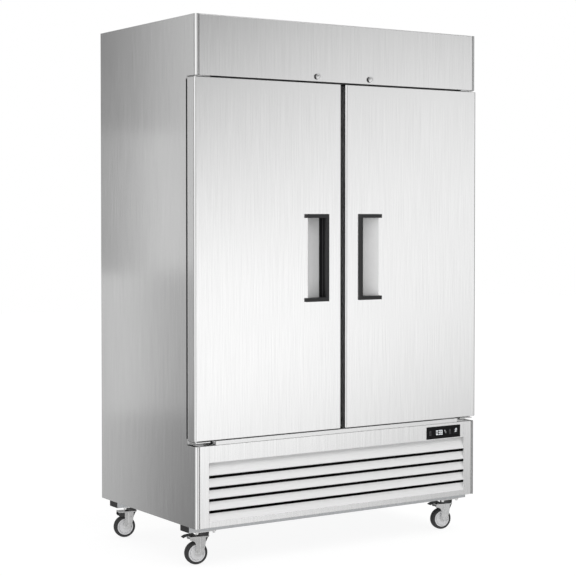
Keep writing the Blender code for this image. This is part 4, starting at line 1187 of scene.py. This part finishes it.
def liner_body():
    """Moulded liner with coved corners over the insulation, and the shelf posts' slots and edges."""
    refined("liner_shell", "insulated_body", LINER, 0.0)
    bm = bmesh.new()
    radius = 0.022
    side, back = ROOM_SIDE, ROOM_BACK
    cove = [(0, 0), (radius, 0), *[(radius - radius * sin(radians(a)), radius - radius * cos(radians(a)))
                                   for a in range(10, 90, 10)], (0, radius)]
    for hand in (-1, 1):
        outline = [(hand * (side + 0.0004 - u), back + 0.0004 - v) for u, v in cove]
        prism(bm, outline, "Z", ROOM_BOTTOM - 0.0004, COOLER_BOTTOM - 0.001)
    outline = [(back + 0.0004 - u, ROOM_BOTTOM - 0.0004 + v) for u, v in cove]
    prism(bm, outline, "X", -side, side)
    for hand in (-1, 1):
        outline = [(hand * (side + 0.0004 - u), ROOM_BOTTOM - 0.0004 + v) for u, v in cove]
        prism(bm, outline, "Y", FRAME_FRONT + 0.02, back)
    piece("liner_coves", bm, LINER, angle=25)

    bm = bmesh.new()
    for y in PILASTER_Y:
        for i in range(44):
            z = 0.62 + i * 0.0275
            for hand in (-1, 1):
                for x, half in ((ROOM_SIDE - 0.0081, 0.0004), (0.0076, 0.0003)):
                    block(bm, (hand * x - half, y - 0.003, z), (hand * x + half, y + 0.003, z + 0.012))
    piece("shelf_post_slots", bm, DARK_GREY, angle=0)

    bm = bmesh.new()
    for y in PILASTER_Y:
        for hand in (-1, 1):
            for low, high in ((-0.0086, -0.007), (0.007, 0.0086)):
                block(bm, (hand * (ROOM_SIDE - 0.0086), y + low, ROOM_BOTTOM + 0.07),
                      (hand * (ROOM_SIDE - 0.0002), y + high, COOLER_BOTTOM - 0.03))
    piece("shelf_post_edges", bm, LINER_METAL, bevel=0.0003)


def wire_shelf(name, hand, level):
    """Coated wire shelf: a border rod, cross rods under it and closely spaced wires front to back."""
    near, far, front, back = 0.022, 0.613, -0.285, 0.3
    border, wire = 0.003, 0.0016
    bm = bmesh.new()
    corner = 0.01
    x0, x1 = near + border, far - border
    y0, y1 = front + border, back - border
    loop = rounded((x0, y0), (x1, y1), corner, 5)
    tube(bm, [(hand * x, y, level) for x, y in loop], border, 10, True)
    for y in (-0.15, 0.008, 0.165):
        tube(bm, [(hand * x0, y, level - 0.0004), (hand * x1, y, level - 0.0004)], 0.0026, 8)
    count = 24
    for i in range(count):
        x = x0 + (x1 - x0) * (i + 1) / (count + 1)
        tube(bm, [(hand * x, y0 - 0.001, level + 0.0014), (hand * x, y1 + 0.001, level + 0.0014)], wire, 6)
    piece("wire_shelf_" + name, bm, WIRE, replaces=["shelf_" + name], angle=40)


def shelf_clips():
    bm = bmesh.new()
    for y in PILASTER_Y:
        for level in SHELF_LEVELS.values():
            top = level - 0.0033
            for hand in (-1, 1):
                for wall, tip in ((0.0078, 0.032), (ROOM_SIDE - 0.0086, 0.603)):
                    lean = 1 if tip > wall else -1
                    outline = [(wall, top - 0.0062), (wall + lean * 0.004, top - 0.0066),
                               (tip, top - 0.003), (tip + lean * 0.0004, top + 0.0024),
                               (tip - lean * 0.0012, top + 0.0024), (tip - lean * 0.0014, top + 0.0002),
                               (wall, top + 0.0002)]
                    prism(bm, [(hand * x, z) for x, z in outline], "Y", y - 0.0064, y + 0.0064)
    piece("shelf_clips", bm, ZINC, bevel=0.0003)


def blade(bm, centre, hub, radius, turn, pitch, chord):
    """One swept, twisted fan blade on an axis along Y."""
    steps, across, thickness = 7, 7, 0.0014
    rows = []
    for i in range(steps):
        share = i / (steps - 1)
        r = hub * 0.92 + (radius - hub * 0.92) * share
        width = chord * (0.62 + 0.5 * sin(pi * min(share * 0.62 + 0.12, 1)))
        lean = pitch * (1.25 - 0.45 * share)
        sweep = 0.16 * share ** 2
        row = []
        for k in range(across):
            s = k / (across - 1) - 0.5
            angle = turn + sweep + s * width / r
            camber = 0.1 * width * (0.25 - s * s)
            row.append(Vector((r * cos(angle), s * width * sin(lean) - camber, r * sin(angle))))
        rows.append(row)
    half = thickness / 2
    top = [[bm.verts.new(centre + p + Vector((0, half, 0))) for p in row] for row in rows]
    bottom = [[bm.verts.new(centre + p - Vector((0, half, 0))) for p in row] for row in rows]
    for i in range(steps - 1):
        for k in range(across - 1):
            bm.faces.new((top[i][k], top[i][k + 1], top[i + 1][k + 1], top[i + 1][k]))
            bm.faces.new((bottom[i][k], bottom[i + 1][k], bottom[i + 1][k + 1], bottom[i][k + 1]))
        bm.faces.new((top[i][0], top[i + 1][0], bottom[i + 1][0], bottom[i][0]))
        bm.faces.new((top[i][-1], bottom[i][-1], bottom[i + 1][-1], top[i + 1][-1]))
    for k in range(across - 1):
        bm.faces.new((top[0][k], bottom[0][k], bottom[0][k + 1], top[0][k + 1]))
        bm.faces.new((top[-1][k], top[-1][k + 1], bottom[-1][k + 1], bottom[-1][k]))


def fan(name, node_name, centre, radius, hub, depth):
    centre = Vector(centre)
    bm = bmesh.new()
    half = depth / 2
    lathe(bm, [(0, half), (hub * 0.7, half), (hub * 0.92, half * 0.82), (hub, half * 0.5), (hub, -half),
               (0, -half)], 32, False, turned(centre))
    for i in range(5):
        blade(bm, centre, hub, radius, 2 * pi * i / 5, radians(26), radius * 0.72)
    piece(name, bm, DARK_GREY, node_name, [node_name], angle=40)


def guard(name, centre):
    """Domed wire finger guard over a fan on an axis along Y."""
    radius, rings, spokes, bow, wire = 0.078, 6, 6, 0.01, 0.0013
    centre = Vector(centre)
    bm = bmesh.new()
    for i in range(rings):
        r = radius * (i + 1) / rings
        out = bow * (1 - (r / radius) ** 2)
        ring_shape(bm, centre - Vector((0, out, 0)), r, wire, 40, 6)
    for i in range(spokes):
        turn = 2 * pi * i / spokes + 0.3
        path = []
        for k in range(7):
            r = radius * (1 / rings + (1.06 - 1 / rings) * k / 6)
            out = bow * (1 - min(r / radius, 1) ** 2)
            path.append(centre + Vector((r * cos(turn), -out + 0.001, r * sin(turn))))
        tube(bm, path, wire * 1.1, 6)
    piece(name, bm, ZINC, angle=40)


def finned_coil(name, source, low, high, fins):
    """A stack of thin fins crossed by copper tubes with return bends at both ends."""
    tubes = 3
    low, high = Vector(low), Vector(high)
    bm = bmesh.new()
    for i in range(fins):
        x = low.x + 0.016 + (high.x - low.x - 0.032) * i / (fins - 1)
        block(bm, (x - 0.00035, low.y, low.z), (x + 0.00035, high.y, high.z))
    for x in (low.x + 0.0135, high.x - 0.0135):
        block(bm, (x - 0.0008, low.y, low.z), (x + 0.0008, high.y, high.z))
    piece(name + "_fins", bm, FIN, replaces=[source], angle=0)
    bm = bmesh.new()
    rows = max(3, int((high.z - low.z) / 0.03))
    depth = high.y - low.y
    for j in range(rows):
        z = low.z + (high.z - low.z) * (j + 0.5) / rows
        for k in range(tubes):
            y = low.y + depth * (k + 0.5) / tubes
            tube(bm, [(low.x + 0.01, y, z), (high.x - 0.01, y, z)], 0.0045, 8)
    gap = depth / tubes
    for x, lean in ((low.x + 0.011, -1), (high.x - 0.011, 1)):
        for j in range(rows):
            z = low.z + (high.z - low.z) * (j + 0.5) / rows
            first = 0 if lean > 0 else 1
            for k in range(first, tubes - 1, 2):
                y = low.y + depth * (k + 0.5) / tubes
                path = [(x + lean * 0.0065 * sin(pi * t / 8), y + gap / 2 - gap / 2 * cos(pi * t / 8), z)
                        for t in range(9)]
                tube(bm, path, 0.0045, 8)
    piece(name + "_tubes", bm, COPPER, angle=40)


def cooling_inside():
    refined("cooler_cover", "evaporator_cover", ALUMINIUM, 0.0004)
    finned_coil("cooler_coil", "evaporator_coil", (-0.535, 0.1, 1.896), (0.535, 0.22, 2.041), 120)
    for name, hand in HANDS:
        centre = (hand * FAN_X, COOLER_FRONT + 0.016, FAN_Z)
        fan("cooler_fan_" + name, "evaporator_fan_" + name, centre, 0.072, 0.02, 0.022)
        guard("cooler_guard_" + name, (hand * FAN_X, COOLER_FRONT - 0.0018, FAN_Z))
    spots = [(x, COOLER_FRONT, z) for x in (-0.56, -0.14, 0.14, 0.56) for z in (1.89, 2.046)]
    screws("cooler_screws", spots, (0, -1, 0), 0.0036)
    bm = bmesh.new()
    z_low, z_high = 0.648, 1.749
    front = FRAME_FRONT + 0.0123
    outline = [(-0.014, front), (0.014, front), (0.014, front + 0.005),
               *arc((0, front + 0.0045), 0.0118, 10, 170, 12), (-0.014, front + 0.005)]
    outline = [(x, min(y, front + 0.0138)) for x, y in outline]
    prism(bm, outline, "Z", z_low + 0.014, z_high - 0.014)
    piece("lamp_tube", bm, LAMP, replaces=["interior_lamp"], bevel=0.0004, segments=2)
    bm = bmesh.new()
    for a, b in ((z_low, z_low + 0.0145), (z_high - 0.0145, z_high)):
        prism(bm, rounded((-0.0138, front), (0.0138, front + 0.0138), 0.003, 4), "Z", a, b)
    piece("lamp_ends", bm, ICON_LIGHT, bevel=0.0006, segments=2)


liner_body()
for shelf_hand_name, shelf_hand in HANDS:
    for shelf_level_name, shelf_level in SHELF_LEVELS.items():
        wire_shelf("%s_%s" % (shelf_hand_name, shelf_level_name), shelf_hand, shelf_level)
shelf_clips()
cooling_inside()


# ---------------------------------------------------------------- machine compartment

def compressor():
    deck = DECK_TOP
    bm = bmesh.new()
    profile = [(0.0, 0.198), (0.024, 0.1965), (0.045, 0.19), (0.062, 0.1785), (0.074, 0.165),
               (0.0795, 0.148), (0.082, 0.13), (0.0865, 0.129), (0.088, 0.1275), (0.088, 0.1205),
               (0.0865, 0.119), (0.082, 0.118), (0.0815, 0.09), (0.08, 0.06), (0.074, 0.043), (0.06, 0.03),
               (0.03, 0.0235), (0.0, 0.022)]
    lathe(bm, profile, 64, False, Matrix.Translation((0.33, 0.12, deck)))
    piece("pump_shell", bm, ENAMEL_BLACK, replaces=["compressor"])
    bm = bmesh.new()
    prism(bm, rounded((0.23, 0.05), (0.43, 0.19), 0.018, 6), "Z", deck, deck + 0.004)
    for x in (0.29, 0.37):
        for y in (0.09, 0.15):
            rod(bm, (x, y, deck + 0.018), "Z", 0.01, 0.03, 24)
    piece("pump_base", bm, ENAMEL_BLACK, bevel=0.0008, segments=2)
    bm = bmesh.new()
    for x in (0.246, 0.414):
        for y in (0.066, 0.174):
            lathe(bm, [(0, 0.01), (0.004, 0.01), (0.009, 0.0085), (0.01, 0.0065), (0.0085, 0.0055),
                       (0.01, 0.0045), (0.01, 0.0042), (0.0, 0.0042)], 24, False,
                       Matrix.Translation((x, y, deck)))
    piece("pump_feet", bm, GASKET, angle=40)
    piece("pump_terminal_box", shape(prism, rounded((0.3, 0.15), (0.36, 0.196), 0.006, 5), "Z",
            deck + 0.062, deck + 0.112), BLACK, bevel=0.002, segments=3)
    bm = bmesh.new()
    suction = [(0.33 - 0.078, 0.12, deck + 0.1), (0.225, 0.12, deck + 0.1), (0.205, 0.13, deck + 0.11),
               (0.2, 0.15, deck + 0.2), (0.2, 0.2, deck + 0.27), (0.2, 0.3, deck + 0.285)]
    tube(bm, softened(suction, 0.02, 5), 0.0048, 10)
    outlet = [(0.33 - 0.07, 0.09, deck + 0.14), (0.23, 0.07, deck + 0.14), (0.14, 0.03, deck + 0.13),
              (0.06, -0.12, deck + 0.12), (0.04, -0.24, deck + 0.12), (0.02, -0.257, deck + 0.12)]
    tube(bm, softened(outlet, 0.02, 5), 0.0032, 10)
    piece("pump_tubes", bm, COPPER, angle=40)
    profile = [(0, 0.0), (0.004, 0.002), (0.011, 0.01), (0.011, 0.07), (0.004, 0.078), (0, 0.08)]
    piece("filter_drier", shape(lathe, profile, 24, False, Matrix.Translation((0.12, 0.16, deck + 0.02))),
          COPPER, angle=40)


def condenser():
    deck = DECK_TOP
    finned_coil("condenser", "condenser_coil", (-0.38, -0.285, deck), (0.02, -0.23, deck + 0.262), 90)
    refined("fan_shroud", "condenser_shroud", ZINC_SHEET, 0.0005, 1)
    fan("condenser_fan_blades", "condenser_fan", (-0.18, -0.196, deck + 0.132), 0.105, 0.025, 0.03)


compressor()
condenser()


# ---------------------------------------------------------------- casters

def fork_shapes(bm, side, inside, thickness, crown_top, arched):
    """One side plate of a fork: a leg ahead of the axle, on a braked caster with an arch over the wheel."""
    leg = [(-0.03, crown_top - 0.0006), (-0.03, 0.08)]
    if arched:
        leg = [(-0.056, crown_top - 0.0006), (-0.058, 0.103), (-0.056, 0.0965), (-0.046, 0.0955),
               (-0.0365, 0.09), (-0.0315, 0.078)]
    leg += [(-0.032, 0.064)]
    count = len(leg)
    leg += arc((-TRAIL, WHEEL_RADIUS), 0.0105, 165, 270, 8)
    leg += softened([(-0.015, 0.035), (-0.005, 0.04), (0.0, 0.056), (0.0045, 0.07), (0.007, 0.085),
                     (0.0078, crown_top - 0.0006)], 0.004, 3)
    leg = softened(leg[:count], 0.004, 3) + leg[count:]
    prism(bm, leg, "Y", side * inside, side * (inside + thickness))


def caster(name, x, y, braked):
    space = Matrix.Translation((x, y, 0)) @ Matrix.Rotation(CASTER_TURN, 4, "Z")
    top = 0.132 - FIT
    race_bottom = 0.1112
    crown_top, crown_bottom = 0.1108, 0.1065

    plate = raw("caster_top_plate_" + name, shape(prism, rounded((x - 0.046, y - 0.032),
            (x + 0.046, y + 0.032), 0.006, 5), "Z", top - 0.003, top))
    rounded_edges(plate, 0.0005, 2, 50)
    finish_piece(plate, ZINC, "cabinet", ["caster_plate_" + name])
    bm = bmesh.new()
    profile = [(0.0, top - 0.0028), (0.0275, top - 0.0028), (0.0275, top - 0.0065), (0.0262, top - 0.0085),
               (0.0262, race_bottom + 0.0045), (0.0245, race_bottom + 0.0012),
               (0.0225, race_bottom + 0.0006), (0.0, race_bottom + 0.0006)]
    lathe(bm, profile, 48, False, Matrix.Translation((x, y, 0)))
    piece("caster_race_" + name, bm, ENAMEL_BLACK, angle=35)
    pin = [(0.0, race_bottom + 0.001), (0.006, race_bottom + 0.001), (0.006, 0.1058), (0.0112, 0.1052),
           (0.0112, 0.1018), (0.0095, 0.1015), (0.0, 0.1015)]
    piece("caster_pin_" + name, shape(lathe, pin, 6, False, Matrix.Translation((x, y, 0))),
          ZINC, angle=35)
    bm = bmesh.new()
    for dx in (-0.038, 0.038):
        for dy in (-0.024, 0.024):
            lathe(bm, [(0, -0.0072), (0.0052, -0.0072), (0.006, -0.006), (0.006, -0.0012), (0.0085, -0.001),
                       (0.0085, 0.0), (0, 0.0)], 6, False,
                       Matrix.Translation((x + dx, y + dy, top - 0.003)))
    piece("caster_bolts_" + name, bm, ZINC, angle=30)

    inside = 0.019
    outside = 0.0218
    bm = bmesh.new()
    crown = [(0.014, -outside), *arc((0, 0), 0.0262, -52, 52, 16), (0.014, outside), (-0.056, outside),
             (-0.056, -outside)]
    prism(bm, crown, "Z", crown_bottom, crown_top)
    fork = raw("caster_fork_body_" + name, bm)
    for side in (-1, 1):
        boolean(fork, shape(fork_shapes, side, inside, outside - inside, crown_top, braked), "UNION")
    boolean(fork, shape(rod, (0, 0, crown_bottom), "Z", 0.0064, 0.02, 32))
    rounded_edges(fork, 0.0007, 2, 50)
    fork.data.transform(space)
    finish_piece(fork, ZINC, "fork_" + name, ["caster_fork_" + name], 35)

    bm = bmesh.new()
    for side in (-1, 1):
        rib = rounded((-0.015, 0.044), (-0.0085, crown_top - 0.004), 0.0031, 5)
        prism(bm, rib, "Y", side * (outside - 0.0004), side * (outside + 0.0011))
    ribs = raw("caster_fork_ribs_" + name, bm)
    rounded_edges(ribs, 0.0006, 2, 50)
    ribs.data.transform(space)
    finish_piece(ribs, CHROME, "fork_" + name, (), 35)
    # Black plates inside the fork's sides, with a shield under the crown on casters without a brake:
    # painted shade for the shaded back of the fork.
    shaded_gusset = [(-0.008, 0.0765), (0.0045, 0.078), (0.0125, 0.096), (0.018, crown_bottom + 0.0004),
              (-0.008, crown_bottom + 0.0004)]
    shaded_shield = [(-0.056, crown_bottom + 0.0004), (-0.057, 0.096), (-0.051, 0.088), (-0.029, 0.088),
              (-0.029, crown_bottom + 0.0004)]
    bm = bmesh.new()
    for side in (-1, 1):
        for outline in (shaded_gusset,) if braked else (shaded_gusset, shaded_shield):
            prism(bm, outline, "Y", side * 0.0176, side * 0.0189)
    bm.transform(space)
    piece("caster_shade_plates_" + name, bm, ENAMEL_BLACK, "fork_" + name, bevel=0.0003, angle=30)

    bm = bmesh.new()
    axle = Vector((-TRAIL, 0, WHEEL_RADIUS))
    rod(bm, axle, "Y", 0.0049, 2 * outside + 0.001, 20)
    for side in (-1, 1):
        facing = turned(axle + Vector((0, side * outside, 0)), -side * pi / 2)
        lathe(bm, [(0, 0.0036), (0.004, 0.0036), (0.0062, 0.003), (0.0068, 0.0012), (0.0086, 0.001),
                   (0.0086, 0.0), (0, 0)], 6 if side > 0 else 24, False, facing)
    bm.transform(space)
    piece("caster_axle_" + name, bm, ZINC, "fork_" + name, angle=30)

    half = 0.016
    spin = space @ turned(axle)
    tyre = [(0.0325, half - 0.0022), (0.0345, half - 0.0006), (0.0375, half - 0.0004)]
    tyre += [(0.0375 + 0.0075 * sin(radians(a)), half - 0.0095 + 0.0091 * cos(radians(a)))
             for a in range(15, 91, 15)]
    tyre += [(0.045, 0.0)]
    tyre += [(r, -h) for r, h in reversed(tyre[:-1])]
    piece("caster_tyre_" + name, shape(lathe, tyre, 72, True, spin), TYRE, "wheel_" + name,
            ["caster_wheel_" + name])
    rim = [(0.0053, half + 0.002), (0.009, half + 0.002), (0.01, half + 0.0008), (0.0108, half - 0.0022),
           (0.0235, half - 0.0022), (0.0245, half - 0.003), (0.0252, half - 0.0052),
           (0.0278, half - 0.0052), (0.0285, half - 0.003), (0.0292, half - 0.0004), (0.033, half - 0.0002),
           (0.0336, half - 0.0012)]
    rim += [(r, -h) for r, h in reversed(rim)]
    piece("caster_rim_" + name, shape(lathe, rim, 64, True, spin), RIM, "wheel_" + name,
            angle=30)
    if braked:
        pedal(name, space, crown_top)


def pedal(name, space, crown_top):
    """Black brake pedal: a bent plate with turned-down sides on a pin between two ears."""
    pin_x, pin_z = -0.0385, crown_top + 0.0048
    bm = bmesh.new()
    for side in (-1, 1):
        ear = [(pin_x - 0.005, crown_top - 0.001), (pin_x - 0.005, pin_z), (pin_x - 0.002, pin_z + 0.0045),
               (pin_x + 0.002, pin_z + 0.0045), (pin_x + 0.005, pin_z), (pin_x + 0.005, crown_top - 0.001)]
        prism(bm, ear, "Y", side * 0.0155, side * 0.018)
    rod(bm, (pin_x, 0, pin_z), "Y", 0.002, 0.0385, 16)
    bm.transform(space)
    piece("brake_ears_" + name, bm, ENAMEL_BLACK, "fork_" + name, angle=30)
    path = [(pin_x + 0.0074, pin_z - 0.0008), (pin_x + 0.005, pin_z + 0.0034),
            (pin_x - 0.006, pin_z + 0.0034), (-0.07, pin_z + 0.0009), (-0.0824, pin_z - 0.0052)]
    under = [(-0.0824, pin_z - 0.008), (-0.069, pin_z - 0.0024), (pin_x - 0.012, pin_z - 0.0002),
             (pin_x - 0.003, pin_z - 0.0027), (pin_x + 0.003, pin_z - 0.0027)]
    outline = softened(path, 0.005, 5) + under
    lever = raw("brake_lever_" + name, shape(prism, outline, "Y", -0.0149, 0.0149))
    boolean(lever, shape(rod, (pin_x, 0, pin_z), "Y", 0.0023, 0.05, 24))
    rounded_edges(lever, 0.0009, 3, 50)
    lever.data.transform(space)
    finish_piece(lever, BLACK, "pedal_" + name.split("_")[1], ["brake_pedal_" + name], 35)


for caster_name, (caster_x, caster_y) in CASTERS.items():
    caster(caster_name, caster_x, caster_y, caster_name.startswith("front"))


# ---------------------------------------------------------------- screws on the back

screws("rear_screws", [(x, BACK, z) for x in (-0.66, -0.33, 0.0, 0.33, 0.66) for z in (0.49, 2.105)]
       + [(x, BACK, z) for x in (-0.672, 0.672) for z in (0.85, 1.25, 1.65)]
       + [(x, BACK, z) for x in (-0.66, -0.22, 0.22, 0.66) for z in (0.18, 0.455)], (0, 1, 0), 0.0042)
